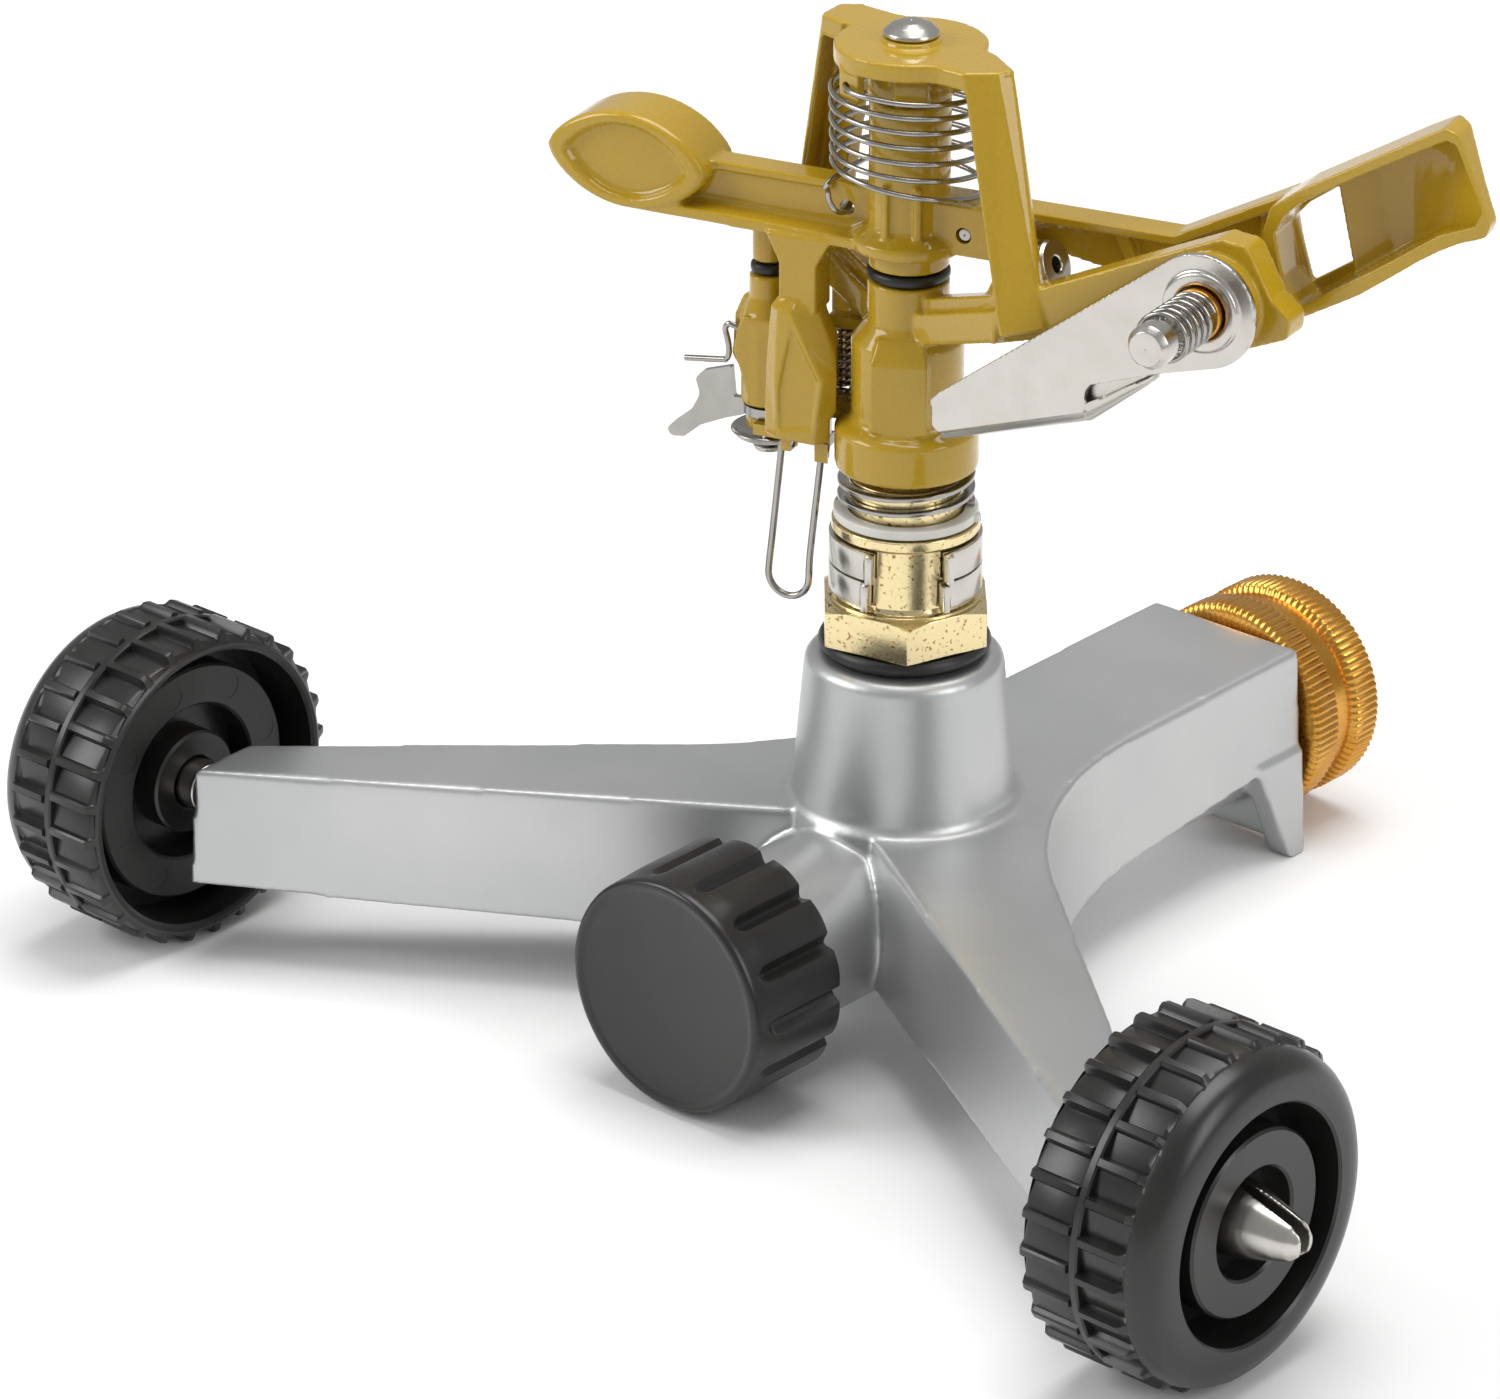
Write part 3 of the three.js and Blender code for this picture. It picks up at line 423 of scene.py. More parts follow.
FINISHES = {
    "die_cast": finish(
        "bare_die_casting", (0.49, 0.50, 0.505), 0.4, 0.85, tint=(0.57, 0.575, 0.57), tint_scale=26,
        tint_range=(0.3, 0.7), grain_scale=1700, grain_height=0.000008),
    "gold_paint": finish(
        "gold_paint", (0.44, 0.275, 0.012), 0.27, 0.0, tint=(0.465, 0.298, 0.018), tint_scale=1800,
        tint_range=(0.45, 0.75), grain_scale=1500, grain_height=0.0000015, coat=0.75, specular=0.2),
    "brass": finish(
        "machined_brass", (0.80, 0.67, 0.38), 0.22, 1.0, tint=(0.30, 0.17, 0.05), tint_scale=1500,
        tint_range=(0.6, 0.66), grain_scale=1500, grain_height=0.00002),
    "gold_anodised": finish(
        "gold_anodised", (0.70, 0.37, 0.08), 0.28, 1.0, tint=(0.60, 0.28, 0.04), tint_scale=90,
        grain_scale=1400, grain_height=0.000008),
    "steel": finish(
        "zinc_plated_steel", (0.60, 0.58, 0.54), 0.24, 1.0, tint=(0.53, 0.51, 0.47), tint_scale=220,
        tint_range=(0.3, 0.8), grain_scale=700, grain_height=0.000002, rough_spread=0.04),
    "spring_steel": finish(
        "spring_steel", (0.40, 0.385, 0.36), 0.2, 1.0, tint=(0.33, 0.32, 0.30), tint_scale=260,
        tint_range=(0.3, 0.8), grain_scale=900, grain_height=0.000002, rough_spread=0.04),
    "black_plastic": finish(
        "black_plastic", (0.012, 0.0115, 0.011), 0.3, 0.0, tint=(0.017, 0.016, 0.015), tint_scale=60,
        tint_range=(0.4, 0.6), grain_scale=1800, grain_height=0.000006, rough_spread=0.05),
    "rubber": finish(
        "black_rubber", (0.008, 0.008, 0.008), 0.42, 0.0, tint=(0.012, 0.012, 0.012), tint_scale=200),
    "nylon": finish(
        "white_nylon", (0.68, 0.67, 0.62), 0.38, 0.0, tint=(0.62, 0.61, 0.56), tint_scale=120),
}


# ---------------------------------------------------------------- pieces

BODY_OF = {
    node: body
    for body, nodes in frame["record"]["behaviour"]["bodies"].items()
    for node in nodes
}
DARK_STEEL = {
    "arm_spring", "bearing_spring", "deflector_spring", "trip_spring", "trip_wire", "trip_latch_wire",
    "trip_lever", "trip_dish_washer", "arm_limit_pin"}
SLOT_OF = {row["node"]: row["material_slot"] for row in frame["record"]["subparts"]}


def piece(node, mesh, matrix=None, sharp=35):
    """Adds the mesh as the fine version of a CAD node, on that node's body and in its finish."""
    placed(mesh, LAYOUT @ (matrix or Matrix.Identity(4)))
    mesh.name = node + "_fine"
    mesh.shade_smooth()
    mesh.set_sharp_from_angle(angle=math.radians(sharp))
    item = bpy.data.objects.new(node + "_fine", mesh)
    bpy.context.scene.collection.objects.link(item)
    mesh.materials.clear()
    mesh.materials.append(FINISHES["spring_steel" if node in DARK_STEEL else SLOT_OF[node]])
    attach(item, BODY_OF[node])
    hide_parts(node)
    return item


# ---------------------------------------------------------------- base casting

ARM_FRONT = ((0, -12.2), (92.5, -67.7))
ARM_BACK = ((93.4, -54.9), (38.9, -8.8))
ARM_REACH = 92.0
TOP_SINK = 2.4
TOP_RISE = 1.0
INLET_HALF_W = 15.3
SWEEP_END_Y = 41.6
BASE_WALL = 2.6
BASE_GRAIN = 0.55


def base_plan(grow):
    """The base's outline in plan, grown outwards by the casting's draft."""
    side = INLET_HALF_W + grow
    (tip_x, tip_y), (root_x, root_y) = ARM_BACK
    root = Vector((root_x + grow * 0.645, root_y + grow * 0.75))
    corner = Vector((side, 11 + grow))
    end = Vector((side, SWEEP_END_Y))
    right = [
        (ARM_FRONT[1][0] + grow * 0.6, ARM_FRONT[1][1] - grow),
        (tip_x + grow * 0.6, tip_y + grow * 0.6),
    ]
    steps = 20
    for k in range(steps + 1):
        t = k / steps
        spot = root * (1 - t) ** 2 + corner * (2 * t * (1 - t)) + end * t ** 2
        right.append(tuple(spot))
    right.append((side, INLET_Y))
    left = [(-x, y) for x, y in reversed(right)]
    return [(0, ARM_FRONT[0][1] - grow * 1.2), *right, *left]


def top_height(x, y):
    """The top sinks towards the wheels and rises a little towards the inlet."""
    return ARM_TOP_Z - TOP_SINK * min(abs(x) / ARM_REACH, 1) + TOP_RISE * max(y, 0) / INLET_Y


def base_layer(grow, height):
    return [(x, y, height if height is not None else top_height(x, y)) for x, y in base_plan(grow)]


def base_casting():
    wall = BASE_WALL
    shell = loft(base_layer(2.2, 2), base_layer(1.3, 16), base_layer(0.5, 29), base_layer(0, None))
    hollow = loft(base_layer(2.2 - wall, -1), base_layer(1.3 - wall, 16), base_layer(-wall, 32))
    fillings = [
        box(-40, 40, INLET_Y - 3.4, INLET_Y + 1, 0, 60),
        cylinder(BOSS_FOOT_R + 1, 2, 36),
        box(84, 100, -70, -52, 14, 60),
        box(-100, -84, -70, -52, 14, 60),
    ]
    hollow = cut(hollow, *fillings)
    wheel_side_trim = loft(
        [(-130, -90, -5), (130, -90, -5), (130, 12, -5), (-130, 12, -5)],
        [(-130, -90, 14.0), (130, -90, 14.0), (130, 12, 11.5), (-130, 12, 11.5)])
    inlet_trim = loft(
        [(-60, 11.5, -5), (60, 11.5, -5), (60, 80, -5), (-60, 80, -5)],
        [(-60, 11.5, 11.5), (60, 11.5, 11.5), (60, 80, 18), (-60, 80, 18)])
    shell = cut(shell, hollow, wheel_side_trim, inlet_trim)

    tube = placed(cylinder(TUBE_R, -50, INLET_Y - 1, 96), inlet_axis(0))
    boss = lathe([
        (0, 22), (BOSS_FOOT_R, 22), (BOSS_FOOT_R + 1.2, ARM_TOP_Z - 0.5), (BOSS_FOOT_R, ARM_TOP_Z + 0.9),
        (BOSS_TOP_R, BOSS_TOP_Z - 1.2), (BOSS_TOP_R - 1.4, BOSS_TOP_Z), (0, BOSS_TOP_Z)], 0.8)
    feet = []
    for side in (-1, 1):
        inner = side * 13
        outer = side * 18.4
        flush = side * 17.2
        low = [(inner, 80, 0), (outer, 80, 0), (outer, INLET_Y, 0), (inner, INLET_Y, 0)]
        high = [(inner, 71.6, 19), (flush, 71.6, 19), (flush, INLET_Y, 19), (inner, INLET_Y, 19)]
        feet.append(loft(low, high))
    body = joined(shell, tube, boss, *feet)
    body = cut(body, box(-40, 40, INLET_Y, INLET_Y + 30, -5, 60))
    body = cast(body, BASE_GRAIN, 8)
    return cut(
        body,
        placed(cylinder(8.4, -51, INLET_Y + 5), inlet_axis(0)),
        placed(cylinder(10.2, INLET_Y - 16, INLET_Y + 5), inlet_axis(0)),
        cylinder(9.8, WATER_Z, BOSS_TOP_Z + 1))


# ---------------------------------------------------------------- wheels and axles

TREADS = 28
TREAD_STOPS = (0.0, 0.04, 0.09, 0.2, 0.26, 0.31, 0.36, 0.5, 0.65, 0.8, 0.92)


def tread(phase, rising, floor_low, floor_high):
    """Radius of a row of raised bars with sloping floors between them."""
    def radius(a):
        p = (a / FULL_TURN * TREADS + phase) % 1
        if not rising:
            p = 1 - p
        if p < 0.08:
            return floor_high + (WHEEL_R - floor_high) * math.sin(p / 0.08 * math.pi / 2)
        if p < 0.27:
            return WHEEL_R
        if p < 0.33:
            return WHEEL_R - (WHEEL_R - floor_low) * (p - 0.27) / 0.06
        return floor_low + (floor_high - floor_low) * (p - 0.33) / 0.67
    return radius


def wheel(side):
    inner_row = tread(0.0, True, 25.4, 26.1)
    outer_row = tread(0.5, False, 25.2, 25.9)
    width = WHEEL_WIDTH
    stations = [
        (AXLE_R + GAP, 3.7), (AXLE_R + GAP + 0.3, 3.5), (8.3, 3.5), (8.7, 3.9), (8.7, 9), (13.1, 9),
        (13.1, 4.4), (13.5, 4), (19.6, 4), (20, 4.4), (20, 10), (23.1, 10), (23.4, 0.5), (23.9, 0.1),
        (24.6, 0), (25.1, 0.3),
        (lambda a: inner_row(a) - 0.9, 0.5), (lambda a: inner_row(a) - 0.2, 0.9), (inner_row, 1.4),
        (inner_row, 9.0), (lambda a: inner_row(a) - 0.1, 9.3), (26.35, 9.4), (26.6, 9.7), (26.6, 10.7),
        (26.35, 11.0), (outer_row, 11.1), (outer_row, 17.6), (lambda a: outer_row(a) - 0.15, 18.1),
        (lambda a: (outer_row(a) + 25.6) / 2 - 0.1, 18.6), (25.75, 18.9), (25.7, 19.4), (25.35, 20.6),
        (24.6, 21.8), (23.4, 22.8), (21.9, 23.3), (20.4, width), (18.9, width), (18.5, width - 0.4),
        (18.5, 13), (14.5, 13), (14.5, width - 1.6), (14.1, width - 1.2), (9.0, width - 1.2),
        (8.6, width - 1.6), (8.6, width - 6), (AXLE_R + GAP, width - 6),
    ]
    angles = []
    for i in range(TREADS):
        for stop in sorted({*TREAD_STOPS, *(((1 - s) + 0.5) % 1 for s in TREAD_STOPS)}):
            angles.append((i + stop) * FULL_TURN / TREADS)
    drum = relief(stations, angles)
    # round marks left by the mould's ejector pins on the inner disc
    marks = []
    for k in range(8):
        a = FULL_TURN * (k + 0.3) / 8
        marks.append(placed(
            lathe([(0, 3.9), (2.2, 3.9), (2.2, 4.06), (0, 4.06)], 0, 32),
            shift(16.6 * math.cos(a), 16.6 * math.sin(a), 0)))
    drum = cut(drum, *marks)
    outwards = shift(WHEEL_X_IN, WHEEL_Y, WHEEL_R) @ turn("Y", 90)
    return drum, Matrix.Scale(side, 4, (1, 0, 0)) @ outwards


def axle_pin(side):
    body = lathe([
        (0, -6), (2.2, -6), (2.2, 1.2), (AXLE_R, 1.2), (AXLE_R, 16.1), (6.3, 16.4), (6.35, 18.2),
        (5.9, 20.9), (4.9, 24.8), (3.8, 28.6), (3.0, 31), (1.8, 32.5), (0, 32.9)], 0.6)
    body = joined(body, box(-3.1, 3.1, -6.25, 6.25, 17.0, 18.0))
    slot_side = loft(
        [(-8, -0.7, 15), (8, -0.7, 15), (8, 0.7, 15), (-8, 0.7, 15)],
        [(-8, -1.1, 34), (8, -1.1, 34), (8, 1.1, 34), (-8, 1.1, 34)])
    body = cast(cut(body, slot_side), 0.22, 5)
    outwards = shift(WHEEL_X_IN - 1.4, WHEEL_Y, WHEEL_R) @ turn("Y", 90)
    return body, Matrix.Scale(side, 4, (1, 0, 0)) @ outwards


# ---------------------------------------------------------------- cap and coupling

CAP_GROOVES = 14


def end_cap():
    def side(z):
        start = min(max((z - 2.9) / 1.5, 0), 1)
        width = 0.16 * math.sqrt(start)
        swell = min(max((z - 1.6) / 4, 0), 1)

        def radius(a):
            p = (a / FULL_TURN * CAP_GROOVES) % 1
            across = min(p, 1 - p)
            lobe = 0.5 * swell * math.cos((p - 0.5) * math.pi)
            if across >= width or width == 0:
                return CAP_R - 0.3 + lobe
            dip = math.cos(across / width * math.pi / 2)
            return CAP_R - 0.3 + lobe - 1.35 * dip * start
        return radius

    front = [
        (0, 0.45), (16.9, 0.45), (17.5, 0.3), (17.9, 0.05), (18.5, 0), (19.0, 0.25), (19.25, 0.8),
        (19.3, 1.5)]
    heights = (2.2, 2.9, 3.1, 3.35, 3.6, 3.9, 4.3, 5, 6.5, 9, 13, 17, CAP_LENGTH - 0.5)
    sides = [(side(z), z) for z in heights]
    last = side(CAP_LENGTH)
    back = [
        (lambda a: last(a) - 0.12, CAP_LENGTH - 0.15), (lambda a: last(a) - 0.5, CAP_LENGTH),
        (TUBE_R + 0.7, CAP_LENGTH), (TUBE_R + GAP, CAP_LENGTH - 0.4), (TUBE_R + GAP, 3.8), (0, 3.8)]
    return relief(front + sides + back, even_angles(CAP_GROOVES * 24))


def swivel_nut():
    teeth = 90

    def knurl(depth):
        def radius(a):
            p = (a / FULL_TURN * teeth) % 1
            return NUT_R - depth + min(depth, 0.42) * (1 - abs(2 * p - 1) ** 1.5)
        return radius

    crest = knurl(0.35)
    edge = knurl(0.9)
    waist = NUT_R - 1.5
    length = NUT_LENGTH
    stations = [
        (9.4, 0), (NUT_R - 1.6, 0), (edge, 0.35), (crest, 0.9), (crest, 5.6), (edge, 6.2), (waist, 6.6),
        (waist, 10.7), (edge, 11.1), (crest, 11.7), (crest, length - 0.9), (edge, length - 0.35),
        (NUT_R - 1.6, length), (13.6, length), (13, length - 0.6), (13, 4.2), (9.4, 4.2),
    ]
    return relief(stations, even_angles(teeth * 5))


def hose_tail():
    return lathe([
        (6.6, -14), (9.9, -14), (9.9, 0.9), (9, 0.9), (9, 6.2), (12.4, 6.2), (12.4, 8),
        (6.6, 8)], 0.2)


# ---------------------------------------------------------------- bearing

def bearing_nipple():
    hexagon = placed(cylinder(HEX_R, HEX_Z, HEX_TOP_Z, 6), turn("Z", GAP_AZIMUTH))
    top_cone = lathe([
        (0, HEX_Z - 1), (HEX_R + 2, HEX_Z - 1), (HEX_R + 2, HEX_TOP_Z - 2.1), (12.9, HEX_TOP_Z),
        (12.9, HEX_TOP_Z + 1), (0, HEX_TOP_Z + 1)])
    hexagon = boolean(bevelled(hexagon, 0.18), [top_cone], "INTERSECT")
    round_part = lathe([
        (0, 49.8), (9.4, 49.8), (9.4, HEX_Z + 1), (12.2, HEX_Z + 1), (12.2, HEX_TOP_Z + 0.3),
        (NIPPLE_R + 0.5, HEX_TOP_Z + 0.5), (NIPPLE_R, HEX_TOP_Z + 1.2), (NIPPLE_R, RIM_TOP_Z - 2),
        (RIM_R - 0.3, RIM_TOP_Z - 1.9), (RIM_R, RIM_TOP_Z - 1.5), (RIM_R, RIM_TOP_Z),
        (SPIGOT_R, RIM_TOP_Z), (SPIGOT_R, 90.6), (0, 90.6)], 0.25)
    bore = cylinder(STEM_R + GAP, 40, 100)
    return cut(joined(round_part, hexagon), bore)


def trip_collar(z0, z1, gap_start, gap_end):
    """C-shaped spring collar; its two ends are bent outwards as stops for the trip wire."""
    r_in = NIPPLE_R + GAP
    r_out = r_in + 0.9
    flare = 1.5
    sweep_angle = 360 - (gap_end - gap_start)
    steps = 72

    def at(degrees, r):
        a = math.radians(degrees)
        return (r * math.cos(a), r * math.sin(a))

    outer = [at(gap_end + 5 + (sweep_angle - 10) * i / steps, r_out) for i in range(steps + 1)]
    inner = [at(gap_start + 360 + 3 - (sweep_angle + 6) * i / steps, r_in) for i in range(steps + 1)]
    first = [at(gap_start + 360 - 1.5, r_out + 0.7), at(gap_start + 360 - 0.5, r_out + flare),
             at(gap_start + 360 + 4, r_out + flare), at(gap_start + 360 + 4.6, r_out + 0.6)]
    second = [at(gap_end - 4.6, r_out + 0.6), at(gap_end - 4, r_out + flare),
              at(gap_end + 0.5, r_out + flare), at(gap_end + 1.5, r_out + 0.7)]
    return bevelled(slab(outer + first + inner + second, z0, z1), 0.15)


def bearing_spring():
    """Wound from flat wire that stays level, wider than it is thick."""
    section = [(-0.82, -0.38), (0.82, -0.38), (0.82, 0.38), (-0.82, 0.38)]
    layers = []
    for point in helix_points(10, 85.9, 91.6, 2.3, 0.6, 48):
        out = Vector((point.x, point.y, 0)).normalized()
        layers.append([point + out * a + Vector((0, 0, b)) for a, b in section])
    return bevelled(loft(*layers), 0.16)


def bearing_washer():
    disc = ring(SPIGOT_R + GAP, 11.4, RIM_TOP_Z + GAP, 85.3, 0.3)
    return joined(disc, placed(lathe([(0, 83.9), (0.9, 83.9), (0.9, 85.2), (0, 85.2)], 0.3, 24),
                               turn("Z", 24) @ shift(11.3, 0, 0)))


# ---------------------------------------------------------------- sprinkler body

def right_leg():
    def section(z):
        drop = BRIDGE_TOP_Z - z
        inner = 12.8 + 0.2 * drop
        front = 16.6 + 0.25 * drop
        corner = 19.5 + 0.32 * drop
        back = 19.9 + 0.25 * drop
        return [
            (front - 0.4, -3.2, z), (front, -3.4, z), (corner, 0.9, z), (back, 3.8, z), (inner, 3.8, z)]
    return loft(section(118), section(BRIDGE_TOP_Z))


def left_leg():
    """Mirrored in depth: an outer wall and a back wall, open towards the front."""
    def section(z, inset):
        drop = BRIDGE_TOP_Z - z
        inner = -12.8 - 0.2 * drop
        front = -17.9 - 0.2 * drop
        corner = -20.6 - 0.2 * drop
        if not inset:
            return [(inner, -3.2, z), (front, -3.2, z), (front - 0.9, -2.2, z), (corner, 2.4, z),
                    (corner + 1.9, 4.2, z), (inner, 4.2, z)]
        return [(inner + 3, -6, z), (front + 1.0, -6, z), (front + 0.6, -2.4, z), (corner + 1.9, 1.2, z),
                (corner + 2.4, 1.6, z), (inner + 3, 1.6, z)]
    whole = loft(section(118, False), section(BRIDGE_TOP_Z, False))
    pocket_top = BRIDGE_TOP_Z - BRIDGE_PLATE - 0.4
    return cut(whole, loft(section(123, True), section(pocket_top, True)))


def bridge_bar(side):
    """One side's leg with the sloping bar that carries it."""
    end = side * 25
    rise = 25 * BAR_SLOPE
    under = upright([(side * 10, 108), (side * 40, 108), (side * 40, 113.2 + 40 * BAR_SLOPE),
                     (side * 10, 113.2 + 10 * BAR_SLOPE)], -8, 8)
    bar = upright([(0, 112.4), (end, 112.4 + rise), (end, 117.6 + rise), (0, 117.6)], -3.4, 3.4)
    ledge = upright([(0, 117), (end, 117 + rise), (end, 119.8 + rise), (0, 119.8)], -1.9, 1.9)
    leg = cut(right_leg() if side > 0 else left_leg(), under)
    if side > 0:
        return joined(leg, bar, ledge)
    web = upright([(-18, 101), (-6, 101), (-6, 117), (-18, 120)], -1.1, 1.1)
    return joined(leg, bar, ledge, web)


def bridge():
    plate_z = BRIDGE_TOP_Z - BRIDGE_PLATE
    disc = cylinder(BRIDGE_DISC_R, plate_z, BRIDGE_TOP_Z, 96)
    strap = slab([
        (0, -4.6), (9, -6.6), (12, -4.4), (16.7, -3.4), (19.6, 0.9), (20.1, 3.8), (13, 6.2), (9, 6.6),
        (0, 7), (-9, 7), (-12.4, 6), (-18.4, 5.0), (-20.6, 2.4), (-18.7, -2.2), (-17.8, -3.2),
        (-12.2, -2.4), (-10, -4)], plate_z, BRIDGE_TOP_Z)
    screw_pad = cylinder(4.7, BRIDGE_TOP_Z - 0.1, BRIDGE_TOP_Z + 0.8)
    inner_boss = cylinder(6.7, HUB_TOP_Z + 0.6, plate_z + 0.1)
    front_rib = placed(box(-2.6, 2.6, -7.6, 0, HUB_TOP_Z + 0.6, plate_z + 0.1), turn("Z", 52))
    ribs = box(-11.5, 11.5, -1.3, 1.3, plate_z - 2.2, plate_z + 0.1)
    tab = box(-3.2, 1.4, -11.4, -9.9, plate_z - 4.7, plate_z + 0.1)
    return joined(
        disc, strap, screw_pad, inner_boss, front_rib, ribs, tab, bridge_bar(1), bridge_bar(-1))


def flap_bracket():
    inner = 4.8
    face = 10.2
    web = upright(rounded([
        (20, 119.5), (30, 122.5), (55, 125), (62, 127), (69.6, 130.3, 1.4), (69.9, 133.4, 1.6),
        (66.6, 136), (62.5, 143.4, 2), (57.8, 143.8, 2), (27.5, 129.8), (20, 128.4)]), inner, face)
    return joined(web, placed(cylinder(7.6, face - 0.2, FLAP_W - GAP), PIVOT))


def trip_bracket():
    """In the hammer arm's frame, where y is -w."""
    shelf = box(-27.5, -6, -0.6, 4.6, 97.6, 100.6)
    post = placed(lathe([
        (0, 97.6), (4.4, 97.6), (4.4, 111.6), (3.1, 115.4), (3.1, 119), (0, 119)], 0.3), POST)
    fin = upright([
        (-26.6, 98), (-30.7, 105), (-30.1, 112), (-28.7, 115.2), (-25, 116), (-25, 98)], -4.2, -0.8)
    web = upright([(-24, 100), (-15, 100), (-15, 106), (-21, 112.5), (-24, 112.5)], -4, -1.4)
    apron = upright([
        (-26, 97.7), (-29.2, 106.6), (-28.6, 110.4), (-27.6, 112.6), (-22.5, 112.6), (-22.5, 97.7)],
        0.4, 1.8)
    lug = box(-14.6, -7, 1.4, 4.4, 112, 114)
    return joined(shelf, post, fin, web, apron, lug)


def sprinkler_body():
    core = lathe([
        (0, SOCKET_Z), (SOCKET_R - 0.3, SOCKET_Z), (SOCKET_R, SOCKET_Z + 0.5),
        (SOCKET_R, SOCKET_TOP_Z - 0.6), (SOCKET_R - 0.6, SOCKET_TOP_Z),
        (BARREL_R + 0.4, SOCKET_TOP_Z + 0.9), (BARREL_R, SOCKET_TOP_Z + 1.8), (BARREL_R, BARREL_TOP_Z),
        (NECK_R, NECK_FOOT_Z), (NECK_R, NECK_TOP_Z), (0, NECK_TOP_Z)])
    panel = placed(loft(*[
        [(-half, -front, z), (half, -front, z), (half, 0, z), (-half, 0, z)]
        for half, front, z in ((4.5, 9.5, 100.6), (4.5, 9.5, 112), (3.6, 7.4, 115.4))]), turn("Z", 32))
    barrel = placed(cylinder(4.4, 20, 24.8), NOZZLE_AXIS)
    knee = placed(cylinder(3.6, 0, 9), KNEE_AXIS)
    parts = joined(
        core, barrel, knee, panel, placed(bridge(), BRIDGE), placed(flap_bracket(), STREAM),
        placed(trip_bracket(), ARM))
    hub_space = lathe([
        (0, NECK_TOP_Z), (6.7, NECK_TOP_Z), (6.7, HUB_FOOT_Z - GAP), (9.3, HUB_FOOT_Z - GAP), (9.3, 132),
        (0, 132)])
    parts = cast(cut(parts, hub_space), HEAD_GRAIN, 4)
    return cut(
        parts,
        cylinder(STEM_R + GAP, SOCKET_Z - 1, 101.3),
        placed(cylinder(3.4, 20.8, 30), NOZZLE_AXIS),
        cylinder(2.5, 119.6, 170),
        placed(cylinder(2.3, 3.8, FLAP_W + 1), PIVOT_AXIS),
        placed(cylinder(PIVOT_HOLE_R, 90, 117.4), POST_AXIS),
        placed(placed(cylinder(0.95, -4, 4), turn("X", 90)), BRIDGE @ shift(-1.3, -12, 155.9)))


def nozzle():
    return placed(lathe([
        (1.3, 21.1), (3.1, 21.1), (3.1, 25.1), (4, 25.1), (4.1, 27), (3.8, 27.6), (1.5, 27.6),
        (1.3, 27.4)], 0.2, 64), NOZZLE_AXIS)


def fulcrum_screw():
    return lathe([
        (0, 120), (2.2, 120), (2.2, 162.4), (4.2, 162.4), (4.35, 162.7), (4.2, 163.1), (3.2, 164),
        (1.9, 164.5), (0, 164.7)], 0.35)


# ---------------------------------------------------------------- hammer arm

WEB_BACK = 5.2
WEB_FRONT = 2.7
SPOON_BACK = 3.2
SPOON_FLOOR = 1.6
SPOON_FRONT = 6
FLOOR_BEND_S = (79.0, 93.6)
FLOOR_BEND_W = 6.6
BEND_STEPS = 10


def spoon():
    """Open tray with a window; its floor curves forwards to the end wall."""
    shell = upright(rounded([
        (65.6, 129.2), (69.5, 131.4), (75.2, 134.7), (80.2, 138.4), (84.5, 141.7), (87.6, 143.8),
        (90.7, 145.5), (94.6, 147, 1), (95.3, 149, 1), (89.7, 162.2, 1), (87.6, 162.9, 1),
        (65.5, 149.8), (61, 146.4, 2), (60, 142.5), (61.8, 134.5)]), -SPOON_BACK, SPOON_FRONT)
    root = upright([
        (57, 128), (64.4, 129.9), (63.2, 135.4), (61.6, 142.4), (62.6, 147), (57, 144)], -WEB_BACK, -1)
    tray = upright(rounded([
        (66.4, 131.5, 1), (79, 140.2), (87.4, 146.3), (92.8, 148.5, 1), (93.8, 151, 1), (89.3, 160.6, 1),
        (87.8, 160.9, 1), (74.2, 153.1), (65.6, 147.6), (63.4, 145.4, 1.5), (61.9, 142.4),
        (63.4, 135.4)]), -SPOON_FLOOR, SPOON_FRONT + 1)
    window = upright([
        (65.2, 132.8), (72.8, 137.9), (69.3, 148.7), (64.4, 145.2), (62.2, 142.6)], -WEB_BACK - 1, 0)
    back = SPOON_BACK
    start, end = FLOOR_BEND_S
    bend = []
    for k in range(BEND_STEPS + 1):
        angle = k / BEND_STEPS * math.pi / 2
        s = start + (end - start) * k / BEND_STEPS
        w = -SPOON_FLOOR - 0.1 + FLOOR_BEND_W * (1 - math.cos(angle))
        low = 139.3 + (s - start) * 0.64
        high = min(156.2 + (s - start) * 0.6, 161.8 - (s - 89.7) * 2.4)
        bend.append([(s, back, low), (s, -w, low), (s, -w, high), (s, back, high)])
    floor_y = SPOON_FLOOR + 0.1
    ramp = loft(
        [(72.9, back, 134.6), (72.9, -0.3, 134.6), (78.6, floor_y, 138.7), (78.6, back, 138.7)],
        [(69.2, back, 150.6), (69.2, -0.3, 150.6), (74.9, floor_y, 154.2), (74.9, back, 154.2)])
    behind_end = slab([
        (82, 3.4), (86, 2.2), (89.5, -0.2), (93, -2.2), (98.5, -3.6), (98.5, 9), (82, 9)], 125, 170)
    open_tray = cut(joined(shell, root), tray, window)
    return cut(joined(open_tray, loft(*bend), ramp), behind_end)


def leaf_outline(scale, tip_power):
    """Lens shape with rounded tips, its long axis 3 degrees off the arm's."""
    half_length = 13.8
    half_height = 7.8
    steps = 40
    points = []
    for i in range(steps):
        t = -1 + 2 * i / steps
        points.append((t * half_length, -half_height * (1 - t * t) ** tip_power))
    points += [(-s, -z) for s, z in points]
    return [(-45.9 + (s + z * 0.05) * scale, 136.7 + (z - s * 0.05) * scale) for s, z in points]


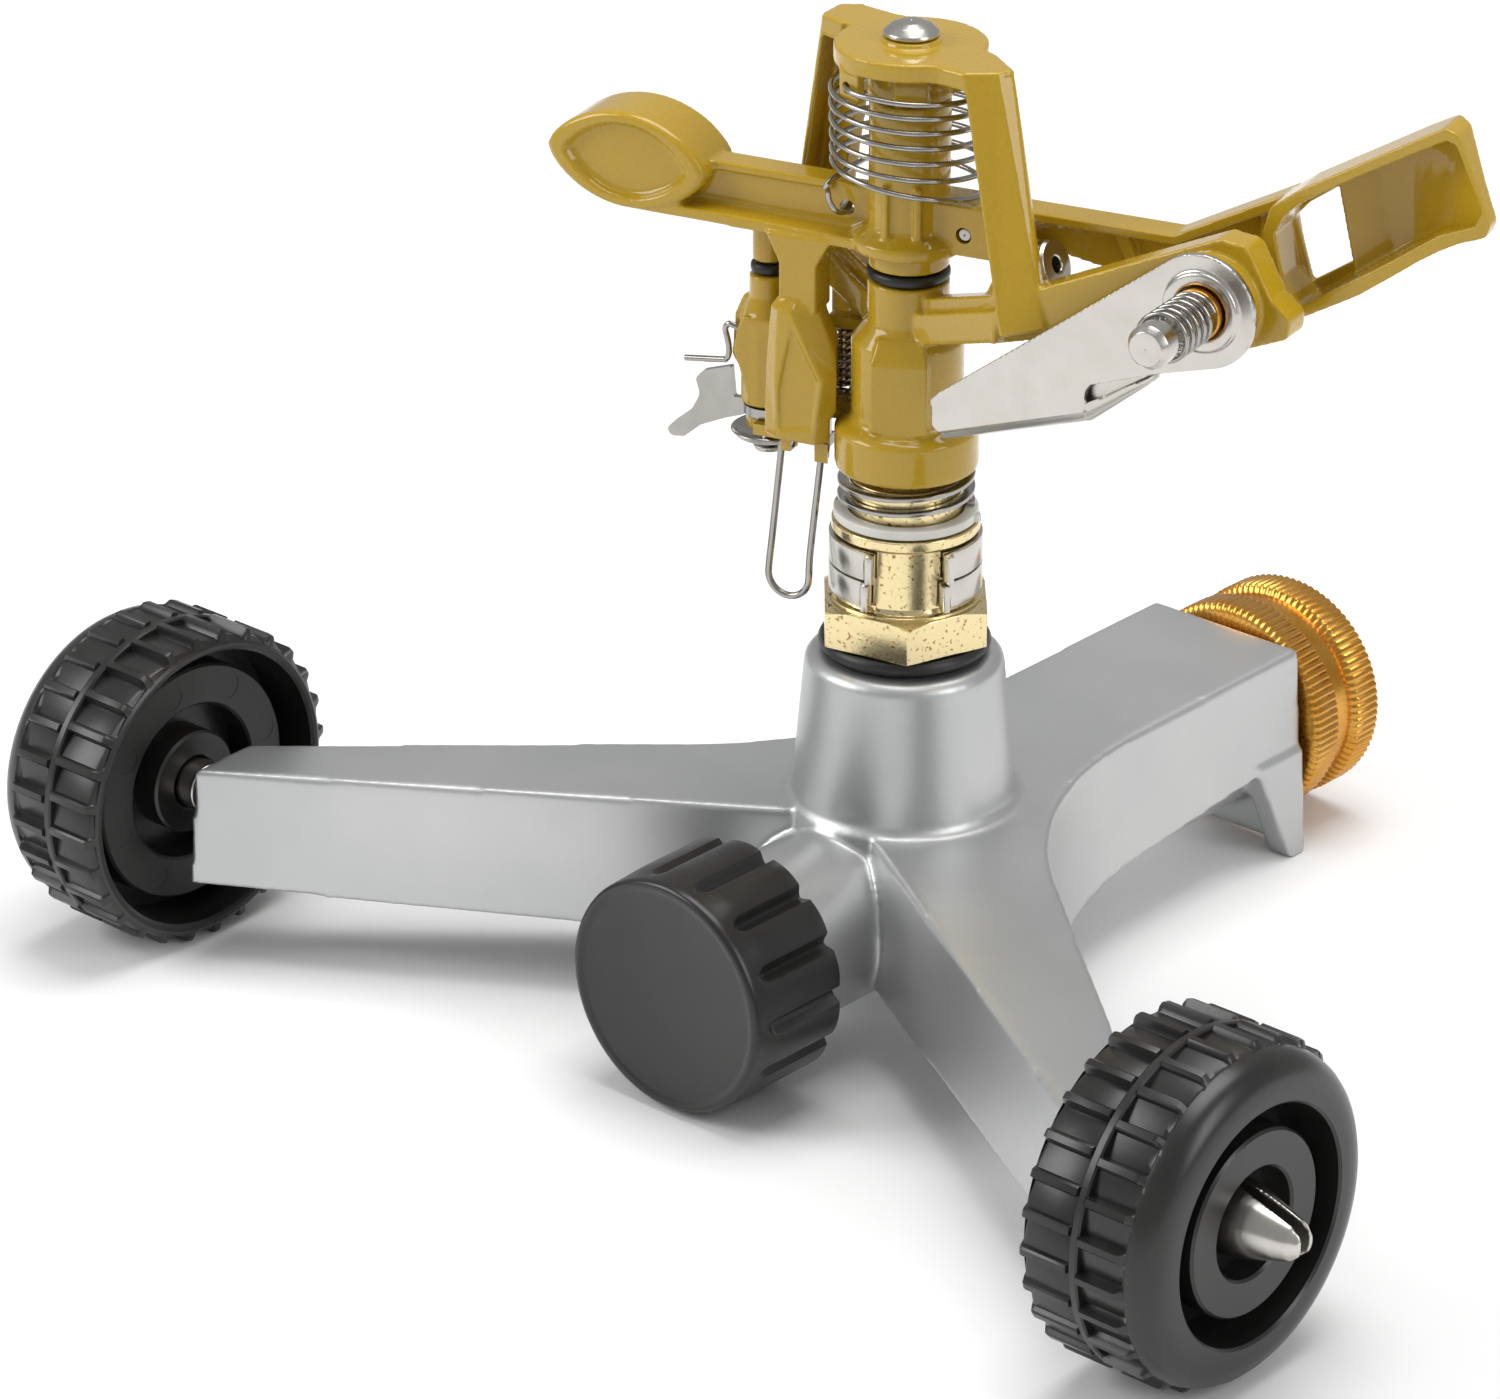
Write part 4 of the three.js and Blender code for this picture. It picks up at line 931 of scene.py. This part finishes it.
def counterweight():
    layers = [(-5, 1), (5.1, 1), (5.7, 0.97), (6, 0.92)]
    lens = loft(*[[(s, -w, z) for s, z in leaf_outline(scale, 0.7)] for w, scale in layers])
    hollow = [(4.5, 0.66), (4.7, 0.72), (5.5, 0.76), (6, 0.8), (7, 0.92)]
    return cut(lens, loft(*[[(s, -w, z) for s, z in leaf_outline(scale, 0.8)] for w, scale in hollow]))


def striker_block():
    """Wedge with a wide right facet that narrows the front face towards the top."""
    levels = (
        (95.8, (-21.6, -9.7, 5.2), (-12.2, -18.6, 8.0), 6.4),
        (106.8, (-21.2, -8.6, 5.2), (-10.8, -18.8, 8.3), 6.6),
        (113, (-20.9, -11.1, 5.2), (-14.1, -18.7, 8.1), 6.4),
        (117.3, (-20.5, -13, 5.2), (-16.4, -18.6, 7.8), 6.2),
        (118.5, (-19.8, -13.6, 4.6), (-16.7, -18.2, 6.4), 5.4),
    )
    layers = []
    for z, (left, right, right_w), (ridge, front_left, front_w), left_w in levels:
        layers.append([
            (left, -2, z), (right, -2, z), (right, -right_w, z), (ridge, -front_w, z),
            (front_left, -front_w, z), (left, -left_w, z)])
    swing_space = lathe([
        (0, 90), (SOCKET_R + 0.7, 90), (SOCKET_R + 0.7, 100), (BARREL_R + 2.2, 101),
        (BARREL_R + 2.2, 125), (0, 125)])
    recess = upright([
        (-18.3, 97.4), (-12.5, 98.3), (-11.5, 106.6), (-16.2, 115.4), (-18.4, 104)], 7.7, 12)
    return cut(loft(*layers), swing_space, recess)


def hammer_arm():
    hub = lathe([
        (0, 125.5), (HUB_R, 125.5), (HUB_R, HUB_FOOT_Z), (9, HUB_FOOT_Z), (9, 130.4), (HUB_R, 132),
        (HUB_R, HUB_TOP_Z), (0, HUB_TOP_Z)])
    left_web = upright([(-41, 129.4), (0, 129.4), (0, 137.4), (-16, 137.4), (-36, 137.6)], -1.8, 1.6)
    left_flange = loft(*[
        [(-47, 3, z + 0.4), (-4, 4.6, z), (-4, -6.4, z), (-22, -5.4, z), (-47, -5.6, z + 0.4)]
        for z in (128.6, 130.4)])
    top_ridge = upright([(-34, 136.5), (-12, 136.5), (-12, 137.7), (-34, 137.9)], -2.6, 2.6)
    right_web = upright([
        (0, 129.4), (8, 129.4), (24, 130.2), (40, 127.5), (60, 127.8), (64.4, 129.9), (63.2, 135.4),
        (61.6, 142.4), (62.6, 147), (43.5, 137.2), (0, 137.2)], -WEB_BACK, -WEB_FRONT)
    right_ridge = upright([
        (0, 135.8), (43.8, 135.8), (62, 145), (61.6, 146.8), (43.5, 137.2), (0, 137.2)], -WEB_BACK, 0.6)
    rib = upright([(33.2, 136.6), (35.2, 136.6), (38.8, 128.6), (36.8, 128.6)], -WEB_BACK, -0.6)
    root_fill = upright([(0, 129.2), (16.4, 129.2), (16.4, 137.2), (0, 137.2)], -4.6, 3)
    hub_ribs = [placed(box(-0.6, 0.6, -7.3, 0, 129.5, 140), turn("Z", a)) for a in (-8.5, 35)]
    column = box(-19.4, -13, -6, -0.4, 117, 129.2)
    flare = loft(
        [(-19.4, -6, 124.6), (-13, -6, 124.6), (-13, -0.4, 124.6), (-19.4, -0.4, 124.6)],
        [(-21.6, -6.2, 129.2), (-10.4, -6.2, 129.2), (-10.4, -0.4, 129.2), (-21.6, -0.4, 129.2)])
    stub = placed(cylinder(2.6, 121.3, 129.4), POST)
    whole = joined(
        hub, left_web, left_flange, top_ridge, right_web, right_ridge, rib, root_fill, *hub_ribs, column,
        flare, stub, counterweight(), spoon(), striker_block())
    whole = cast(whole, HEAD_GRAIN, 3)
    return cut(
        whole,
        cylinder(3.4, 120, 160),
        placed(cylinder(1.3, -10, 10), PIN_AXIS),
        placed(cylinder(1.25, -6, 6), shift(-9.8, 0, 133.5) @ turn("X", 90)))


def arm_spring():
    """Return spring, wound downwards from a hole in the bridge's tab to a hook through the arm."""
    turns = 6.84
    steps = 300
    coil = []
    for i in range(steps + 1):
        t = 0.12 + turns * i / steps
        azimuth = math.radians(-140) + t * FULL_TURN
        radius = 12.2 - 0.05 * t
        # the lower coils are drawn down on the right
        lean = 0.35 + 1.3 * max(0, (t - 4.2) / 2.1) ** 2
        z = 155.9 - 2.2 * t - 0.04 * t * t - lean * math.cos(azimuth - math.radians(40))
        coil.append(Vector((radius * math.cos(azimuth), radius * math.sin(azimuth), z)))
    tab_end = [BRIDGE @ Vector(p) for p in ((-1.4, -9.3, 155.7), (-1.3, -11.6, 156))]
    hook = [ARM @ Vector(p) for p in (
        (-10.9, -5, 138.9), (-11.4, -5, 137), (-11.2, -4.9, 135.4), (-10.4, -4.6, 134),
        (-9.8, -3.2, 133.2), (-9.7, -1.4, 133.4), (-9.8, 0.2, 134))]
    return wire(smooth_path(tab_end + coil[1:-4:4] + hook, 4), 0.45)


# ---------------------------------------------------------------- deflector

def deflector_flap():
    """Sheet metal: the lower edge is folded inwards, and its end shows as a triangle below a notch."""
    centre_s, centre_z = FLAP_PIVOT
    round_end = []
    for i in range(33):
        a = math.radians(-72 + 198 * i / 32)
        round_end.append((centre_s + 8.9 * math.cos(a), centre_z + 8.9 * math.sin(a)))
    sheet = upright([
        (12.7, 106.4), (13.7, 105.5), (38.6, 113.9), (38.8, 117.3), (39.5, 118.5), (50.6, 122.6),
        *round_end, (13.4, 111.8), (12.4, 110.6)], FLAP_W, FLAP_W + 1.1)
    inner = [(0, 0), (-0.15, -0.9), (-0.7, -1.7), (-1.7, -2.2), (-3.4, -2.4)]
    outer = [(-3.4, -3.5), (-1.4, -3.3), (0.1, -2.6), (0.85, -1.2), (0.95, 0.3)]

    def fold(s, z, shrink_w, shrink_z, thickness):
        return [(s, -(FLAP_W + w * shrink_w), z + dz * shrink_z) for w, dz in inner] + [
            (s, -(FLAP_W + w * shrink_w), z + thickness + dz * shrink_z) for w, dz in outer]

    layers = [fold(s, z + 0.9, 1, 1, 0.3) for s, z in ((13.7, 105.5), (26, 109.7), (38.6, 113.9))]
    layers.append(fold(50.8, 122.3, 0.5, 0.25, 0.3))
    triangle = upright([
        (36.5, 113.4), (38.9, 114.2), (50.4, 122.2), (50.4, 124), (38, 119.6), (36.5, 118)],
        FLAP_W - 1.6, FLAP_W - 0.7)
    emboss = placed(lathe([
        (4.2, FLAP_W - 0.6), (7.0, FLAP_W - 0.6), (6.7, FLAP_W + 0.2), (6.0, FLAP_W + 1.75),
        (4.2, FLAP_W + 1.75)], 0.3, 96), PIVOT)
    hole = placed(cylinder(4.3, FLAP_W - 5, FLAP_W + 5), PIVOT)
    whole = cut(joined(sheet, joined(loft(*layers), triangle), emboss), hole)
    return cast(whole, SHEET_GRAIN, 2)


def deflector_bolt():
    return lathe([
        (0, 4.6), (2, 4.6), (2, 28.1), (3.1, 28.1), (3.4, 28.4), (3.4, 31.4), (2.6, 32.4),
        (0, 32.4)], 0.2)


def deflector_spring():
    return wire(helix_points(3.75, 17.4, 27.7, 5.5, 0.4, 36), 0.42)


# ---------------------------------------------------------------- trip mechanism

def trip_lever():
    disc = cylinder(4, 95.7, 97.2)
    wing = upright(rounded([
        (-27, 95.6), (-29.6, 94.3), (-32.2, 93.4, 3), (-36.7, 91.4, 2), (-39.6, 88.9, 1), (-42, 88.6, 1),
        (-42.7, 89.8, 1), (-41.1, 91.5, 2), (-38.3, 93.8, 2), (-36.8, 96.6, 2), (-37.6, 99.2, 1),
        (-36.3, 100.7, 1), (-31.4, 102.3), (-30.9, 97.2), (-27, 97.2)], 0.3), -0.6, 0.6)
    wing = placed(wing, shift(-POST_S, 0, 0))
    return cut(joined(disc, wing), cylinder(PIVOT_HOLE_R, 90, 120))


def trip_yoke():
    bar = box(-25.2, -12, -2.9, 0, 93.6, 95.4)
    collar = placed(cylinder(3.6, 93.6, 95.4), POST)
    left_ear = box(-19, -17.4, -5.7, -2.8, 93.1, 95.4)
    right_ear = box(-13.2, -10.3, -5.7, -2.8, 92.2, 95.4)
    whole = cut(
        joined(bar, collar, left_ear, right_ear),
        cylinder(SOCKET_R + 1, 90, 100),
        placed(cylinder(PIVOT_HOLE_R, 90, 120), POST),
        placed(cylinder(0.85, -25, -5, 24), shift(0, -WIRE_W, WIRE_PIVOT_Z) @ turn("Y", 90)))
    return bevelled(whole, 0.2)


def trip_pivot_pin():
    return lathe([(0, 89.4), (2.3, 89.4), (2.6, 90.2), (1.3, 90.8), (1.3, 117), (0, 117)], 0.25, 48)


def trip_dish():
    return lathe([
        (1.6, 91.2), (3.6, 91.2), (5.4, 92), (6.1, 92.9), (5.7, 93.2), (5, 92.6), (3.4, 92),
        (1.6, 92)], 0.15)


def trip_wire():
    """Hairpin whose two ends turn inwards into the yoke's ears."""
    top = WIRE_PIVOT_Z
    bend = [(-18.2 - 3.5 * math.cos(a), 71.4 - 3.5 * math.sin(a)) for a in even_angles(16)[:9]]
    path = [
        (-17.6, top), (-18.8, top), (-19.4, top - 0.5), (-19.6, top - 2.4), (-21.1, 77.5), (-21.5, 74),
        *bend, (-14.6, 74), (-14.3, 77.5), (-12.9, top - 4), (-12.6, top - 1.2), (-12.2, top - 0.1),
        (-11.4, top)]
    return wire(smooth_path([(s, -WIRE_W, z) for s, z in path], 6), 0.58)


def trip_spring():
    return wire(helix_points(1.2, 100.4, 111.4, 10, 0, 24), 0.3, 8)


def latch_wire():
    return wire(smooth_path([
        (-28.6, 0, 109.6), (-29.9, 0, 110.1), (-30.8, 0, 110.2), (-31.4, 0, 109.3), (-31.1, 0, 108),
        (-30.8, 0, 106.6), (-30.8, 0, 105.2), (-31.2, 0, 104.3), (-32.2, 0, 104),
        (-38.4, 0, 103.2)], 8), 0.5)


# ---------------------------------------------------------------- build

piece("base_casting", base_casting(), sharp=50)
piece("bearing_nipple", bearing_nipple(), sharp=30)
piece("base_o_ring", lathe([(9.8, 61.2), (12.8, 61.2), (13.9, 62.4), (13.2, 63.7), (9.8, 63.7)], 0.9))
for name, side in (("left", -1), ("right", 1)):
    piece("wheel_" + name, *wheel(side), sharp=28)
    piece("axle_pin_" + name, *axle_pin(side), sharp=60)
piece("end_cap", end_cap(), CAP_AXIS, sharp=40)
piece("hose_swivel_nut", swivel_nut(), inlet_axis(NUT_BACK_Y))
piece("hose_tail", hose_tail(), inlet_axis(INLET_Y))
piece("hose_washer", ring(7, 12.4, 8.3, 10.8, 0.4), inlet_axis(INLET_Y))
piece("trip_collar_lower", trip_collar(71.9, 76.3, GAP_AZIMUTH - 32, GAP_AZIMUTH + 29))
piece("trip_collar_upper", trip_collar(76.6, 81.2, GAP_AZIMUTH - 29, GAP_AZIMUTH + 32))
piece("bearing_washer", bearing_washer())
piece("bearing_spring", bearing_spring())
piece("sprinkler_body", sprinkler_body(), sharp=60)
piece("nozzle", nozzle())
piece("fulcrum_screw", fulcrum_screw())
piece("neck_washer", ring(2.5, 6.5, 123.5, 125.2, 0.8))
piece("deflector_bolt", deflector_bolt(), PIVOT_AXIS)
piece("deflector_bush", ring(2.4, 4, FLAP_W, FLAP_W + 3, 0.3), PIVOT_AXIS)
piece("deflector_spring", deflector_spring(), PIVOT_AXIS)
piece("deflector_flap", deflector_flap(), STREAM, sharp=50)
piece("hammer_arm", hammer_arm(), ARM, sharp=60)
piece("arm_limit_pin", lathe([(0, -5.6), (1.1, -5.6), (1.1, 2.6), (0, 2.6)], 0.3, 32), ARM @ PIN_AXIS)
piece("arm_spring", arm_spring())
piece("trip_lever", trip_lever(), POST_AXIS)
piece("trip_yoke", trip_yoke(), ARM)
piece("trip_pivot_pin", trip_pivot_pin(), POST_AXIS)
piece("trip_dish_washer", trip_dish(), POST_AXIS)
piece("trip_wire", trip_wire(), ARM)
piece("trip_spring", trip_spring(), ARM @ shift(-12.4, 3.2, 0))
piece("trip_latch_wire", latch_wire(), ARM)
piece("post_o_ring", ring(1.2, 2.9, 119.3, 121, 0.7), POST_AXIS)

# pieces inside the others keep their CAD meshes
for node in (
        "cap_gasket", "stem_tube", "stem_washer_lower", "stem_seal", "stem_washer_upper", "arm_bushing"):
    carried = frame["nodes"][node]
    carried.data.materials.clear()
    carried.data.materials.append(FINISHES[SLOT_OF[node]])


# ---------------------------------------------------------------- floor, light and camera

FLOOR_HALF = 6.0
LIGHT_TARGET = (0, 0, 0.06)
CAMERA_MM = (583.4, -687.34, 468.68)
CAMERA_DEGREES = (65.165, 0, 41.874)
LENS_MM = 150.32


def floor():
    half = FLOOR_HALF
    corners = [(-half, -half, 0), (half, -half, 0), (half, half, 0), (-half, half, 0)]
    mesh = mesh_of(corners, [(0, 1, 2, 3)])
    item = bpy.data.objects.new("floor", mesh)
    bpy.context.scene.collection.objects.link(item)
    material, nodes, _ = new_material("pale_floor")
    shader = nodes["Principled BSDF"]
    shader.inputs["Base Color"].default_value = (0.93, 0.93, 0.93, 1)
    shader.inputs["Roughness"].default_value = 0.9
    mesh.materials.append(material)


def soft_light(name, position, size, power):
    data = bpy.data.lights.new(name, "AREA")
    data.shape = "RECTANGLE"
    data.size, data.size_y = size
    data.energy = power
    item = bpy.data.objects.new(name, data)
    item.location = position
    item.rotation_euler = (Vector(LIGHT_TARGET) - Vector(position)).to_track_quat("-Z", "Y").to_euler()
    bpy.context.scene.collection.objects.link(item)


def studio():
    world = bpy.data.worlds.new("studio")
    world.use_nodes = True
    background = world.node_tree.nodes["Background"]
    background.inputs["Color"].default_value = (1, 1, 1, 1)
    background.inputs["Strength"].default_value = 0.42
    bpy.context.scene.world = world
    soft_light("key", (-0.9, -1.0, 0.9), (0.8, 0.8), 11)
    soft_light("fill", (1.2, 0.1, 0.7), (0.5, 0.8), 5)
    soft_light("top", (0.0, 0.2, 1.5), (1.0, 1.0), 15)


def camera():
    data = bpy.data.cameras.new("camera")
    data.lens = LENS_MM
    data.sensor_width = 36
    data.clip_start = 0.05
    item = bpy.data.objects.new("camera", data)
    item.location = LAYOUT @ Vector(CAMERA_MM)
    item.rotation_euler = [math.radians(d) for d in CAMERA_DEGREES]
    bpy.context.scene.collection.objects.link(item)
    bpy.context.scene.camera = item


floor()
studio()
camera()
bpy.context.scene.view_settings.view_transform = "Standard"
